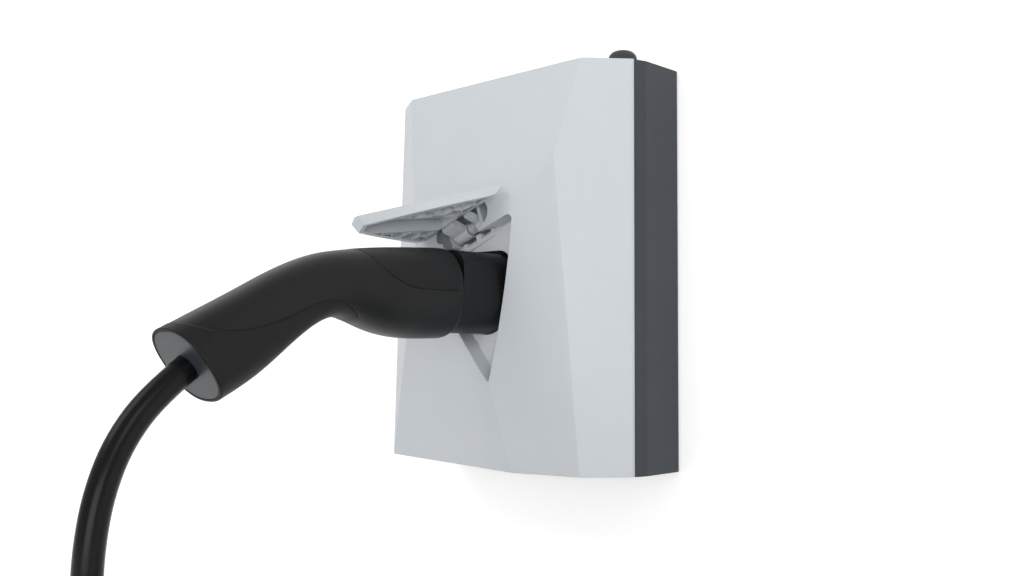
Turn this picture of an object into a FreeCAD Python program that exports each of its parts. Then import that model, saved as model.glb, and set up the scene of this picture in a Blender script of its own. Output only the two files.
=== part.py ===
import FreeCAD, Part
import math
import os

# A wall-mounted charging box for electric cars, with its charging cable plugged in.
# Lengths in millimetres. X to the right as one faces the box, Y into the wall, Z up.
# The origin is the centre of the back, on the wall's surface.
# Depth is the distance out from the wall, so a point at depth d has y = -d.

os.makedirs("parts", exist_ok=True)
V = FreeCAD.Vector

# Driving dimensions of the box
BOX_WIDTH = 260.0
BOX_HEIGHT = 315.0
CASE_DEPTH = 54.5
CASE_STRAIGHT_DEPTH = 44.0
CASE_TAPER = 3.3
CASE_WALL = 3.0
CASE_CORNER_RADIUS = 5.0
COVER_WALL = 2.6
COVER_CREASE_RADIUS = 0.9
SEAM_GAP = 0.5
FIT_GAP = 0.3

# Corner points of the cover's facets: distance in from the right or left edge,
# rise beyond the depth of the top edge, drop from the top
TOP_EDGE_DEPTH = 86.5
TOP_CREASE_INSET = 29.5
PINCH_INSET = 43.2
PINCH_RISE = 15.2
PINCH_DROP = 73.8
BOTTOM_CREASE_INSET = 29.7
BOTTOM_CREASE_RISE = 0.6
FOOT_CREASE_INSET = 83.7
FOOT_CREASE_RISE = 16.4
PEAK_SIDE = 6.6
PEAK_DROP = 167.8
PEAK_RISE = 34.5
LEFT_CREASE_INSET = 33.8
LEFT_TOP_FALL = 18.4
LEFT_FOOT_FALL = 9.5

# The three-cornered opening for the socket, x and z of its corners
OPENING_RIGHT = (52.0, 42.8)
OPENING_FOOT = (28.0, -90.0)
OPENING_LEFT = (-43.5, 5.0)
OPENING_RIGHT_BULGE = 2.5
OPENING_LEFT_BULGE = 2.0
OPENING_CORNER_RADIUS = 4.0
OPENING_FOOT_RADIUS = 1.5
OPENING_BAND = 2.4
POCKET_FLOOR_RISE = 10.5
BEZEL_THICKNESS = 3.0

# The socket and the plug share one flat-topped round section.
# Their parts lie this far behind the floor of the opening.
SOCKET_X = 12.0
SOCKET_Z = -22.5
NOSE_RADIUS = 28.5
NOSE_TOP = 34.0
NOSE_TOP_CORNER = 14.0
NOSE_WALL = 3.5
NOSE_ROOF = 6.0
NOSE_REACH = 51.0
NOSE_FLOOR_REACH = 5.0
SOCKET_CLEARANCE = 0.5
SOCKET_WALL = 3.0
SOCKET_BACK_DEPTH = 36.0
SOCKET_BASE = 6.0
SOCKET_FLANGE = 3.0
SOCKET_FLANGE_RIM = 9.0
SOCKET_SCREW = 3.0
SOCKET_SCREW_BITE = 2.2
SOCKET_LUG = 6.0
SOCKET_LUGS = [(43.0, 24.0), (21.5, -65.5), (-31.0, 1.0)]
PLUG_SEAL = 2.0
PLUG_SEAL_REACH = 13.0
PLUG_SEAL_WIDTH = 4.0
COLLAR_WIDTH = 6.5
COLLAR_HEIGHT = 1.5

# Contacts: x and z from the socket's centre
POWER_CONTACTS = [(-16.0, 0.0), (0.0, 0.0), (16.0, 0.0), (-8.5, -13.5), (8.5, -13.5)]
SIGNAL_CONTACTS = [(-9.0, 13.0), (9.0, 13.0)]
POWER_PIN = 6.0
SIGNAL_PIN = 3.0
PIN_REACH = 42.0
SLEEVE_WALL = 1.2
SLEEVE_MOUTH_REACH = 13.0
SLEEVE_TAIL_DEPTH = 28.0
SLEEVE_SOLID = 6.0
NECK_STEP = 6.0
NECK_LENGTH = 14.0
CONNECTOR_NOSE = 77.0
CONNECTOR_LIP = 2.0

# Lock of the plug: a pin that drops through the socket's wall into a pocket in the nose
LOCK_PIN = 6.0
LOCK_REACH = 27.0
LOCK_POCKET = 4.5
LOCK_ENGAGED = 4.0
LOCK_STROKE = 6.0
LOCK_ROOF = 3.0

# The flap and its hinge
FLAP_OPEN_ANGLE = 85.0
FLAP_RELIEF_ANGLE = 3.5
FLAP_GAP = 0.8
FLAP_DRAFT = 3.0
FLAP_RIM_HEIGHT = 6.0
FLAP_RIM_WIDTH = 3.6
FLAP_SKIN = 2.2
FLAP_TIP_CUT = 18.0
RIB_CELL = 16.0
RIB_WIDTH = 1.3
CHANNEL_WIDTH = 24.0
HINGE_RISE = 12.2
HINGE_LIFT = 1.0
HINGE_START = -74.0
HINGE_END = -40.0
HINGE_PIN_RADIUS = 2.0
KNUCKLE_RADIUS = 6.2
HINGE_EAR = 3.0
PIN_CLEARANCE = 0.15
BAY_RADIUS = 17.0
BAY_WALL = 2.4
LEDGE_DROP = 8.0
LEDGE_WIDTH = 7.5
LEDGE_START = -70.0
LEDGE_END = -34.0
NOTCH_DEPTH = 3.8
NOTCHES = [(-66.6, -54.1), (-48.5, -36.5)]
TAB_RISE = 1.2
KNUCKLES = [(-73.5, -57.5), (-46.5, -40.5)]
CHANNEL_REACH = 104.0
CHANNEL_SHOULDER = 0.16
CELL_ROWS = 5
SMALLEST_CELL = 6.0
ARM_INSET = 0.8
ARM_OVERLAP = 2.4
ARM_CORNER = 5.5
ARM_BITE = 2.5
ARM_SINK = 3.75
ARM_SLOPE = 2.5
ARM_LOW = 5.5
SPRING_WIRE = 1.4
SPRING_COIL_RADIUS = 4.2
SPRING_TURNS = 5

# Feet of the cover inside the housing, and its screws
FOOT_GLAND_GAP = 20.0
FOOT_WIDTH = 16.0
FOOT_THICKNESS = 8.0
FOOT_BACK_DEPTH = 32.0
COVER_SCREW = 4.0
COVER_SCREW_DEPTH = 44.0
SCREW_HEAD = 7.6
SCREW_HEAD_HEIGHT = 2.6
SCREW_PLAY = 0.2

# The plug's handle: each section has its upper and lower point, as the distance from the
# handle's front and the height above the socket's centre, and its half width
HANDLE_STANDOFF = 52.0
GRIP_SECTIONS = [
    ((0.0, 34.6), (0.0, -31.2), 29.6),
    ((5.5, 35.8), (5.5, -32.6), 31.0),
    ((38.0, 33.8), (38.0, -32.7), 31.0),
    ((63.0, 31.9), (59.0, -29.7), 29.5),
    ((89.0, 28.9), (78.0, -23.7), 26.5),
    ((113.0, 24.5), (94.0, -18.9), 24.0),
    ((139.0, 14.9), (111.0, -21.5), 23.5),
    ((171.0, -1.6), (138.0, -38.7), 25.0),
    ((200.9, -17.1), (165.5, -59.7), 26.5),
    ((223.6, -28.9), (190.6, -74.1), 27.5),
]
GRIP_ROUNDNESS = 2.4
SECTION_POINTS = 20
END_CAP_THICKNESS = 3.0
END_CAP_RIM = 2.2
INSERT_DEPTH = 1.6
GRIP_WALL = 3.4
TOP_SEAM = [(7.5, 44.5), (7.0, 30.5), (6.5, 16.5), (8.0, 6.5), (13.0, 3.1),
            (29.0, 2.3), (50.0, 2.7), (69.0, 11.0), (87.0, 30.5), (97.0, 44.5)]
LOW_SEAM = [(87.0, -57.5), (83.5, -35.5), (82.0, -24.5), (90.0, -15.8), (113.0, -8.1),
            (142.0, -17.3), (182.0, -29.1), (201.0, -29.5), (217.0, -24.5), (239.0, -15.5)]

# The charging cable: the seen part of its route, measured as the handle's sections are
CABLE_DROP = [(201.9, -49.2), (227.0, -68.0), (248.0, -94.5), (259.5, -123.5),
              (264.6, -153.5), (265.6, -182.5)]
CABLE_DOWN_HEADING = 88.0
CABLE_BEND_SHARE = 0.45
SWEEP_STEPS = 6
CABLE_DIAMETER = 18.0
CABLE_LENGTH = 5000.0
TAIL_STEP = 30.0
TAIL_TURN = 36.4
TAIL_STEPS = 3
TIE_WIDTH = 12.0
TIE_THICKNESS = 1.2
TIE_ANGLES = [0, 135, 290]
COIL_ROWS = 4
COIL_TURNS = 7.25
FLOOR_Z = -366.0

# Fixings
BRACKET_WIDTH = 170.0
BRACKET_HEIGHT = 200.0
BRACKET_SHEET = 2.0
BRACKET_BOLT_X = 60.0
BRACKET_BOLT_Z = 80.0
BRACKET_HOLE = 6.5
BRACKET_CORNER = 8.0
BRACKET_WINDOW = 40.0
BRACKET_GAP = 0.3
LOCK_SCREW = 5.0
LOCK_SCREW_INSET = 11.0
LOCK_SCREW_Z = 58.0
SEAL_INSET = 1.0
SEAL_WIDTH = 1.8

# The board behind the socket and its parts
BOARD_THICKNESS = 1.6
BOARD_SIDE_GAP = 19.0
BOARD_FOOT_GAP = 26.5
BOARD_TOP_GAP = 58.5
BOARD_INSET = 8.0
BOARD_SCREW = 3.0
STANDOFF_HEIGHT = 8.0
STANDOFF_RADIUS = 4.0
RELAY_SIZE = (30.0, 26.0, 24.0)
RELAY_INSET = 28.0
RELAY_TOP_INSET = 48.0
RELAY_PITCH = 34.0
RELAY_COUNT = 4
SENSOR_SIZE = (44.0, 26.0, 30.0)
SENSOR_X = -30.0
SENSOR_FOOT_INSET = 24.0
SENSOR_BORE = 14.0
TERMINAL_SIZE = (52.0, 20.0, 20.0)
TERMINAL_INSET = 50.0
TERMINAL_TOP_INSET = 22.0
TERMINAL_WAYS = 5
WIRE_MOUTH = 7.2
WIRE_MOUTH_RISE = 4.0
WIRE_MOUTH_LENGTH = 12.0
CLAMP_SCREW = 6.0
CLAMP_SCREW_LENGTH = 8.0
SUPPLY_SIZE = (46.0, 32.0, 26.0)
SUPPLY_INSET = 36.0
SUPPLY_FOOT_INSET = 36.0
TAIL_WIRE = 3.2
ACTUATOR_WIDTH = 28.0
ACTUATOR_BACK_REACH = 11.0
ACTUATOR_FRONT_REACH = 8.0
ACTUATOR_HEIGHT = 32.0

GLAND_INSET = 36.0
GLAND_DEPTH = 27.0
GLAND_HEX = 24.0
GLAND_THREAD = 20.0
GLAND_BORE = 14.0
GLAND_HEIGHT = 18.0
GLAND_HEX_HEIGHT = 6.0
GLAND_NECK = 6.0
GLAND_DOME_ROUND = 7.0
GLAND_NUT_HEIGHT = 5.0

HALF_W = BOX_WIDTH / 2
HALF_H = BOX_HEIGHT / 2
COVER_BACK = CASE_DEPTH + SEAM_GAP
COVER_HALF_W = HALF_W - CASE_TAPER
FOOT_X = HALF_W - GLAND_INSET - FOOT_GLAND_GAP - FOOT_WIDTH / 2
LOCK_SCREW_X = BRACKET_WIDTH / 2 - LOCK_SCREW_INSET
PEAK_DEPTH = TOP_EDGE_DEPTH + PEAK_RISE
POCKET_FLOOR_DEPTH = TOP_EDGE_DEPTH + POCKET_FLOOR_RISE
HINGE_DEPTH = POCKET_FLOOR_DEPTH + HINGE_LIFT
NOSE_TIP_DEPTH = POCKET_FLOOR_DEPTH - NOSE_REACH
NOSE_FLOOR_DEPTH = POCKET_FLOOR_DEPTH - NOSE_FLOOR_REACH
PLUG_SEAL_BACK = POCKET_FLOOR_DEPTH - PLUG_SEAL_REACH
PLUG_SEAL_FRONT = PLUG_SEAL_BACK + PLUG_SEAL_WIDTH
PIN_TIP_DEPTH = POCKET_FLOOR_DEPTH - PIN_REACH
SLEEVE_MOUTH_DEPTH = POCKET_FLOOR_DEPTH - SLEEVE_MOUTH_REACH
LOCK_DEPTH = POCKET_FLOOR_DEPTH - LOCK_REACH
HANDLE_FRONT = POCKET_FLOOR_DEPTH + HANDLE_STANDOFF
CONNECTOR_TIP_DEPTH = HANDLE_FRONT - CONNECTOR_NOSE


def at(x, depth, z):
    """Point from x, the distance out from the wall, and z."""
    return V(x, -depth, z)


def save(name, shape):
    """Write one node, and print its size so that a bad solid shows at once."""
    shape.exportStep("parts/" + name + ".step")
    solids = shape.Solids
    volume = round(shape.Volume / 1000, 2)
    print(name, "solids", len(solids), "valid", shape.isValid(), "volume", volume, "cm3")


def block(x0, x1, d0, d1, z0, z1):
    """Box between two x, two depths and two z."""
    return Part.makeBox(x1 - x0, d1 - d0, z1 - z0, V(x0, -d1, z0))


def prism(wire, d0, d1):
    """Solid from a wire drawn at depth zero, between two depths."""
    face = Part.Face(wire)
    face.translate(V(0, -d0, 0))
    return face.extrude(V(0, -(d1 - d0), 0))


def rod(x, z, radius, d0, d1):
    """Round rod along the depth."""
    return Part.makeCylinder(radius, d1 - d0, at(x, d0, z), V(0, -1, 0))


def fuse_all(shapes):
    """One solid from a list that overlaps or touches."""
    whole = shapes[0]
    for one in shapes[1:]:
        whole = whole.fuse(one)
    return whole.removeSplitter()


# The facets of the front, each through three named points
TOP_CREASE = at(HALF_W - TOP_CREASE_INSET, TOP_EDGE_DEPTH, HALF_H)
TOP_LEFT = at(LEFT_CREASE_INSET - HALF_W, TOP_EDGE_DEPTH, HALF_H)
PINCH = at(HALF_W - PINCH_INSET, TOP_EDGE_DEPTH + PINCH_RISE, HALF_H - PINCH_DROP)
BOTTOM_CREASE = at(HALF_W - BOTTOM_CREASE_INSET, TOP_EDGE_DEPTH + BOTTOM_CREASE_RISE, -HALF_H)
FOOT_CREASE = at(HALF_W - FOOT_CREASE_INSET, TOP_EDGE_DEPTH + FOOT_CREASE_RISE, -HALF_H)
PEAK = at(PEAK_SIDE, PEAK_DEPTH, HALF_H - PEAK_DROP)
LEFT_TOP = at(-COVER_HALF_W, TOP_EDGE_DEPTH - LEFT_TOP_FALL, HALF_H)
LEFT_FOOT = at(-COVER_HALF_W, TOP_EDGE_DEPTH - LEFT_FOOT_FALL, -HALF_H)

FACETS = [
    (TOP_CREASE, TOP_LEFT, PINCH),
    (TOP_CREASE, PINCH, BOTTOM_CREASE),
    (PINCH, BOTTOM_CREASE, FOOT_CREASE),
    (FOOT_CREASE, LEFT_FOOT, PEAK),
    (TOP_LEFT, LEFT_TOP, LEFT_FOOT),
]


def beyond(facet, inset):
    """Everything outside a facet's plane, moved inwards by the inset."""
    p, q, r = facet
    normal = (q - p).cross(r - p).normalize()
    if normal.y > 0:
        normal = normal * -1
    reach = 3 * BOX_HEIGHT
    across = normal.cross(V(0, 0, 1)).normalize()
    along = normal.cross(across)
    middle = p - normal * inset
    corners = [middle + across * (i * reach) + along * (j * reach)
               for i, j in ((1, 1), (-1, 1), (-1, -1), (1, -1))]
    return Part.Face(Part.makePolygon(corners + corners[:1])).extrude(normal * reach)


def faceted_block(inset, back):
    """The cover's outer form as one block, every face moved inwards by the inset."""
    half_w = COVER_HALF_W - inset
    half_h = HALF_H - inset
    solid = block(-half_w, half_w, back, 1.5 * PEAK_DEPTH, -half_h, half_h)
    for facet in FACETS:
        solid = solid.cut(beyond(facet, inset))
    return solid


def opening_wire(inset, tip_cut=0.0):
    """The opening's outline at depth zero, moved inwards, with bowed long sides and round corners."""
    right, foot, left = [V(x, 0, z) for x, z in (OPENING_RIGHT, OPENING_FOOT, OPENING_LEFT)]

    def bowed(p, q, bulge):
        side = (q - p).cross(V(0, 1, 0)).normalize()
        if side.dot((p + q) * 0.5 - (right + foot + left) / 3) < 0:
            side = side * -1
        return Part.Arc(p, (p + q) * 0.5 + side * bulge, q).toShape()

    edges = [bowed(right, foot, OPENING_RIGHT_BULGE), bowed(foot, left, OPENING_LEFT_BULGE)]
    face = Part.Face(Part.Wire(edges + [Part.makeLine(left, right)]))
    if tip_cut:
        low = foot.z + tip_cut
        face = face.cut(Part.makeBox(BOX_WIDTH, 2, tip_cut * 2, V(-HALF_W, -1, low - tip_cut * 2)))
        face = face.Faces[0]
    if inset:
        face = face.makeOffset2D(-inset, 2)
    return face.OuterWire


def opening_prism(inset, d0, d1):
    """Solid of the opening's outline between two depths, its long edges rounded."""
    solid = prism(opening_wire(inset), d0, d1)
    long_edges = [e for e in solid.Edges if abs(e.BoundBox.YLength - (d1 - d0)) < 0.01]
    foot_edge = min(long_edges, key=lambda e: e.BoundBox.ZMin)
    solid = solid.makeFillet(OPENING_CORNER_RADIUS, [e for e in long_edges if e is not foot_edge])
    long_edges = [e for e in solid.Edges if abs(e.BoundBox.YLength - (d1 - d0)) < 0.01]
    return solid.makeFillet(OPENING_FOOT_RADIUS, [min(long_edges, key=lambda e: e.BoundBox.ZMin)])


# The hinge runs along the opening's upper edge
EDGE_SPAN = V(OPENING_RIGHT[0] - OPENING_LEFT[0], 0, OPENING_RIGHT[1] - OPENING_LEFT[1])
HINGE_DIR = V(EDGE_SPAN).normalize()
HINGE_UP = V(-HINGE_DIR.z, 0, HINGE_DIR.x)
HINGE_ORIGIN = at(OPENING_RIGHT[0], HINGE_DEPTH, OPENING_RIGHT[1]) + HINGE_UP * HINGE_RISE
HINGE_FRAME = FreeCAD.Matrix(
    HINGE_DIR.x, 0, HINGE_UP.x, HINGE_ORIGIN.x,
    HINGE_DIR.y, 1, HINGE_UP.y, HINGE_ORIGIN.y,
    HINGE_DIR.z, 0, HINGE_UP.z, HINGE_ORIGIN.z,
    0, 0, 0, 1)


def on_hinge(shape):
    """Moves a shape drawn along X at the origin to the hinge line."""
    placed = shape.copy()
    placed.Placement = FreeCAD.Placement(HINGE_FRAME).multiply(placed.Placement)
    return placed


def hinge_rod(radius, start, end):
    return Part.makeCylinder(radius, end - start, V(start, 0, 0), V(1, 0, 0))


def bay(radius):
    """Hollow for the hinge: a round bar with round ends, along the hinge line."""
    start = HINGE_START - HINGE_EAR
    end = HINGE_END + HINGE_EAR
    bar = hinge_rod(radius, start, end)
    ends = [Part.makeSphere(radius, V(s, 0, 0)) for s in (start, end)]
    return on_hinge(bar.fuse(ends[0]).fuse(ends[1]))


def hinge_box(s0, s1, d0, d1, up0, up1):
    """Box along the hinge line, between two depths and two heights from the hinge line."""
    return on_hinge(Part.makeBox(s1 - s0, d1 - d0, up1 - up0, V(s0, HINGE_DEPTH - d1, up0)))


# Bezel plate behind the opening, with a raised ledge that has notches for the flap's arms
BAY_START = HINGE_START - HINGE_EAR
BAY_END = HINGE_END + HINGE_EAR
FRONT_REACH = PEAK_DEPTH + 10
BEZEL_BACK = POCKET_FLOOR_DEPTH - BEZEL_THICKNESS
LEDGE_FRONT = POCKET_FLOOR_DEPTH + COLLAR_HEIGHT
below_ledge = hinge_box(BAY_START - HALF_W, BAY_END + HALF_W, 0, POCKET_FLOOR_DEPTH, -HALF_W, -LEDGE_DROP)
upper_bay = bay(BAY_RADIUS + BAY_WALL).cut(below_ledge)
ledge = hinge_box(LEDGE_START, LEDGE_END, BEZEL_BACK, LEDGE_FRONT, -LEDGE_DROP - LEDGE_WIDTH, -LEDGE_DROP)
bezel_blank = prism(opening_wire(-OPENING_BAND), BEZEL_BACK, POCKET_FLOOR_DEPTH).cut(upper_bay).fuse(ledge)

# Front cover: a faceted shell with the opening's inner wall and the scooped hinge bay
outer_form = faceted_block(0, COVER_BACK)
creases = [e for e in outer_form.Edges if e.BoundBox.YMin < -COVER_BACK - 0.01]
creases = [e for e in creases if e.BoundBox.YMax < -COVER_BACK - 0.01]
outer_form = outer_form.makeFillet(COVER_CREASE_RADIUS, creases)

cover = outer_form.cut(faceted_block(COVER_WALL, CASE_DEPTH))
cover = cover.fuse(prism(opening_wire(-OPENING_BAND), POCKET_FLOOR_DEPTH, FRONT_REACH).common(outer_form))
cover = cover.fuse(bay(BAY_RADIUS + BAY_WALL).common(outer_form))
cover = cover.cut(opening_prism(0, POCKET_FLOOR_DEPTH, FRONT_REACH))
cover = cover.cut(bay(BAY_RADIUS).cut(below_ledge))
cover = cover.cut(hinge_box(BAY_START, BAY_END, HINGE_DEPTH, FRONT_REACH, -BAY_RADIUS, 0))
for s in (BAY_START, HINGE_END):
    ear = on_hinge(hinge_rod(BAY_RADIUS + BAY_WALL / 2, s, s + HINGE_EAR))
    ear_room = hinge_box(s, s + HINGE_EAR, 0, HINGE_DEPTH + KNUCKLE_RADIUS, -LEDGE_DROP, HALF_W)
    cover = cover.fuse(ear.common(ear_room))
cover = cover.cut(on_hinge(hinge_rod(HINGE_PIN_RADIUS, BAY_START, BAY_END)))
cover = cover.cut(bezel_blank)

# Feet of the cover inside the housing: hooks at the top, screw tongues at the bottom
for x in (-FOOT_X, FOOT_X):
    for side in (-1, 1):
        z0, z1 = sorted((side * (HALF_H - CASE_WALL), side * (HALF_H - CASE_WALL - FOOT_THICKNESS)))
        foot = block(x - FOOT_WIDTH / 2, x + FOOT_WIDTH / 2, FOOT_BACK_DEPTH, TOP_EDGE_DEPTH, z0, z1)
        z0, z1 = sorted((side * HALF_H, side * (HALF_H - CASE_WALL - FOOT_THICKNESS)))
        root = block(x - FOOT_WIDTH / 2, x + FOOT_WIDTH / 2, COVER_BACK, TOP_EDGE_DEPTH, z0, z1)
        cover = cover.fuse(foot.fuse(root).common(faceted_block(COVER_WALL / 2, FOOT_BACK_DEPTH)))
    hole_radius = (COVER_SCREW + SCREW_PLAY) / 2
    cover = cover.cut(Part.makeCylinder(hole_radius, 3 * FOOT_THICKNESS, at(x, COVER_SCREW_DEPTH, -HALF_H)))
save("front_cover", cover)


# Section shared by the plug's nose and the socket: half round below, flat on top
def nose_wire(grow):
    radius = NOSE_RADIUS + grow
    corner = NOSE_TOP_CORNER + grow
    top = NOSE_TOP + grow
    side = radius - corner
    shoulder = top - corner
    diagonal = corner * math.sqrt(0.5)
    right_arc = Part.Arc(V(radius, 0, shoulder), V(side + diagonal, 0, shoulder + diagonal), V(side, 0, top))
    left_arc = Part.Arc(V(-side, 0, top), V(-side - diagonal, 0, shoulder + diagonal),
                        V(-radius, 0, shoulder))
    bottom = Part.Arc(V(-radius, 0, 0), V(0, 0, -radius), V(radius, 0, 0))
    edges = [
        bottom.toShape(), Part.makeLine(V(radius, 0, 0), V(radius, 0, shoulder)), right_arc.toShape(),
        Part.makeLine(V(side, 0, top), V(-side, 0, top)), left_arc.toShape(),
        Part.makeLine(V(-radius, 0, shoulder), V(-radius, 0, 0)),
    ]
    wire = Part.Wire(edges)
    wire.translate(V(SOCKET_X, 0, SOCKET_Z))
    return wire


def nose_prism(grow, d0, d1):
    return prism(nose_wire(grow), d0, d1)


collar = nose_prism(SOCKET_CLEARANCE + COLLAR_WIDTH, POCKET_FLOOR_DEPTH, LEDGE_FRONT)
collar = collar.common(opening_prism(FIT_GAP, POCKET_FLOOR_DEPTH, LEDGE_FRONT)).cut(upper_bay)
bezel = bezel_blank.fuse(collar).cut(nose_prism(SOCKET_CLEARANCE, BEZEL_BACK, LEDGE_FRONT))
for s0, s1 in NOTCHES:
    bezel = bezel.cut(hinge_box(s0, s1, BEZEL_BACK, LEDGE_FRONT, -LEDGE_DROP - NOTCH_DEPTH, 0))
tab_start, tab_end = NOTCHES[0][1], NOTCHES[1][0]
tab = hinge_box(tab_start, tab_end, BEZEL_BACK, LEDGE_FRONT, -LEDGE_DROP - NOTCH_DEPTH, TAB_RISE - LEDGE_DROP)
bezel = bezel.fuse(tab).removeSplitter()
for x, z in SOCKET_LUGS:
    bezel = bezel.cut(rod(x, z, (SOCKET_SCREW + SCREW_PLAY) / 2, BEZEL_BACK, BEZEL_BACK + SOCKET_SCREW_BITE))
save("socket_bezel", bezel)


# Rear housing: a tray with a tapered front strip and a recess for the wall bracket
def housing_form(inset, back, front):
    half_w = HALF_W - inset
    half_h = HALF_H - inset
    outline = [(-half_w, back), (half_w, back), (half_w, CASE_STRAIGHT_DEPTH),
               (half_w - CASE_TAPER, front), (CASE_TAPER - half_w, front), (-half_w, CASE_STRAIGHT_DEPTH)]
    points = [at(x, d, -half_h) for x, d in outline]
    return Part.Face(Part.makePolygon(points + points[:1])).extrude(V(0, 0, 2 * half_h))


housing = housing_form(0, 0, CASE_DEPTH)
upright = [e for e in housing.Edges if e.BoundBox.ZLength > BOX_HEIGHT - 1 and e.BoundBox.YMin > -1]
housing = housing.makeFillet(CASE_CORNER_RADIUS, upright)
housing = housing.cut(housing_form(CASE_WALL, CASE_WALL, CASE_DEPTH).fuse(
    block(-COVER_HALF_W + CASE_WALL, COVER_HALF_W - CASE_WALL, CASE_STRAIGHT_DEPTH, CASE_DEPTH + 1,
          CASE_WALL - HALF_H, HALF_H - CASE_WALL)))
recess_w = BRACKET_WIDTH / 2 + BRACKET_GAP
recess_h = BRACKET_HEIGHT / 2 + BRACKET_GAP
pad_w = recess_w + CASE_WALL
pad_h = recess_h + CASE_WALL
housing = housing.fuse(block(-pad_w, pad_w, 0, BRACKET_SHEET + CASE_WALL, -pad_h, pad_h))
housing = housing.cut(block(-recess_w, recess_w, 0, BRACKET_SHEET, -recess_h, recess_h))
for x in (-LOCK_SCREW_X, LOCK_SCREW_X):
    for z in (-LOCK_SCREW_Z, LOCK_SCREW_Z):
        housing = housing.cut(rod(x, z, (LOCK_SCREW + SCREW_PLAY) / 2, 0, BRACKET_SHEET + CASE_WALL))
board_back = BRACKET_SHEET + CASE_WALL + STANDOFF_HEIGHT
board_half = HALF_W - CASE_WALL - BOARD_SIDE_GAP
board_foot = CASE_WALL + BOARD_FOOT_GAP - HALF_H
board_top = HALF_H - CASE_WALL - BOARD_TOP_GAP
board_points = [(x, z) for x in (BOARD_INSET - board_half, board_half - BOARD_INSET)
                for z in (board_foot + BOARD_INSET, board_top - BOARD_INSET)]
for x, z in board_points:
    housing = housing.fuse(rod(x, z, STANDOFF_RADIUS, CASE_WALL / 2, board_back))
    housing = housing.cut(rod(x, z, (BOARD_SCREW + SCREW_PLAY) / 2, CASE_WALL, board_back))
for x in (-FOOT_X, FOOT_X):
    hole_radius = (COVER_SCREW + SCREW_PLAY) / 2
    hole_foot = at(x, COVER_SCREW_DEPTH, -HALF_H - CASE_WALL / 2)
    housing = housing.cut(Part.makeCylinder(hole_radius, 2 * CASE_WALL, hole_foot))
housing = housing.cut(Part.makeCylinder(GLAND_THREAD / 2 + SCREW_PLAY, 3 * CASE_WALL,
                                        at(HALF_W - GLAND_INSET, GLAND_DEPTH, HALF_H - 2 * CASE_WALL)))
save("rear_housing", housing.removeSplitter())

# Seal in the seam between housing and cover
ring_w = COVER_HALF_W - SEAL_INSET
ring_h = HALF_H - SEAL_INSET
seal = block(-ring_w, ring_w, CASE_DEPTH, COVER_BACK, -ring_h, ring_h)
seal = seal.cut(block(SEAL_WIDTH - ring_w, ring_w - SEAL_WIDTH, CASE_DEPTH, COVER_BACK,
                      SEAL_WIDTH - ring_h, ring_h - SEAL_WIDTH))
save("cover_gasket", seal)


def cap_screw(diameter, length, head, head_height):
    """Pan head screw along +Z: the head's underside at the origin, the shank upwards."""
    drive = head * 0.24
    screw = Part.makeCylinder(diameter / 2, length)
    screw = screw.fuse(Part.makeCylinder(head / 2, head_height, V(0, 0, -head_height)))
    corners = [V(drive * math.cos(math.radians(60 * i)), drive * math.sin(math.radians(60 * i)), -head_height)
               for i in range(6)]
    socket = Part.Face(Part.makePolygon(corners + corners[:1])).extrude(V(0, 0, head_height * 0.6))
    point = [e for e in screw.Edges if abs(e.BoundBox.ZMin - length) < 0.01]
    screw = screw.makeChamfer(diameter * 0.1, point)
    rim = [e for e in screw.Edges if e.BoundBox.ZMax < 0.01 - head_height]
    return screw.makeFillet(head_height * 0.3, rim).cut(socket)


def placed_screws(screw, points, direction):
    """Copies of a screw at several points, all pointing one way."""
    turn = FreeCAD.Rotation(V(0, 0, 1), direction)
    copies = []
    for point in points:
        copy = screw.copy()
        copy.Placement = FreeCAD.Placement(point, turn)
        copies.append(copy)
    return Part.makeCompound(copies)


cover_screw = cap_screw(COVER_SCREW, CASE_WALL + FOOT_THICKNESS, SCREW_HEAD, SCREW_HEAD_HEIGHT)
cover_points = [at(x, COVER_SCREW_DEPTH, -HALF_H) for x in (-FOOT_X, FOOT_X)]
save("cover_screws", placed_screws(cover_screw, cover_points, V(0, 0, 1)))

# Wall bracket: a sheet with four wall holes and four tapped holes for the housing's screws
bracket = block(-BRACKET_WIDTH / 2, BRACKET_WIDTH / 2, 0, BRACKET_SHEET,
                -BRACKET_HEIGHT / 2, BRACKET_HEIGHT / 2)
upright = [e for e in bracket.Edges if e.BoundBox.XLength < 0.01 and e.BoundBox.ZLength < 0.01]
bracket = bracket.makeFillet(BRACKET_CORNER, upright)
bracket = bracket.cut(block(-BRACKET_WINDOW, BRACKET_WINDOW, 0, BRACKET_SHEET,
                            -BRACKET_WINDOW, BRACKET_WINDOW))
for x in (-1, 1):
    for z in (-1, 1):
        bracket = bracket.cut(rod(x * BRACKET_BOLT_X, z * BRACKET_BOLT_Z, BRACKET_HOLE / 2, 0, BRACKET_SHEET))
        hole_radius = (LOCK_SCREW + SCREW_PLAY) / 2
        bracket = bracket.cut(rod(x * LOCK_SCREW_X, z * LOCK_SCREW_Z, hole_radius, 0, BRACKET_SHEET))
save("wall_bracket", bracket)
lock_screw = cap_screw(LOCK_SCREW, BRACKET_SHEET + CASE_WALL - 0.5, SCREW_HEAD, SCREW_HEAD_HEIGHT)
lock_points = [at(x * LOCK_SCREW_X, BRACKET_SHEET + CASE_WALL, z * LOCK_SCREW_Z)
               for x in (-1, 1) for z in (-1, 1)]
save("bracket_screws", placed_screws(lock_screw, lock_points, V(0, 1, 0)))


# Flap: drawn closed in the opening, then swung open about the hinge line
def facet_depth(facet, x, z):
    p, q, r = facet
    normal = (q - p).cross(r - p)
    return -(p.y - (normal.x * (x - p.x) + normal.z * (z - p.z)) / normal.y)


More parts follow.
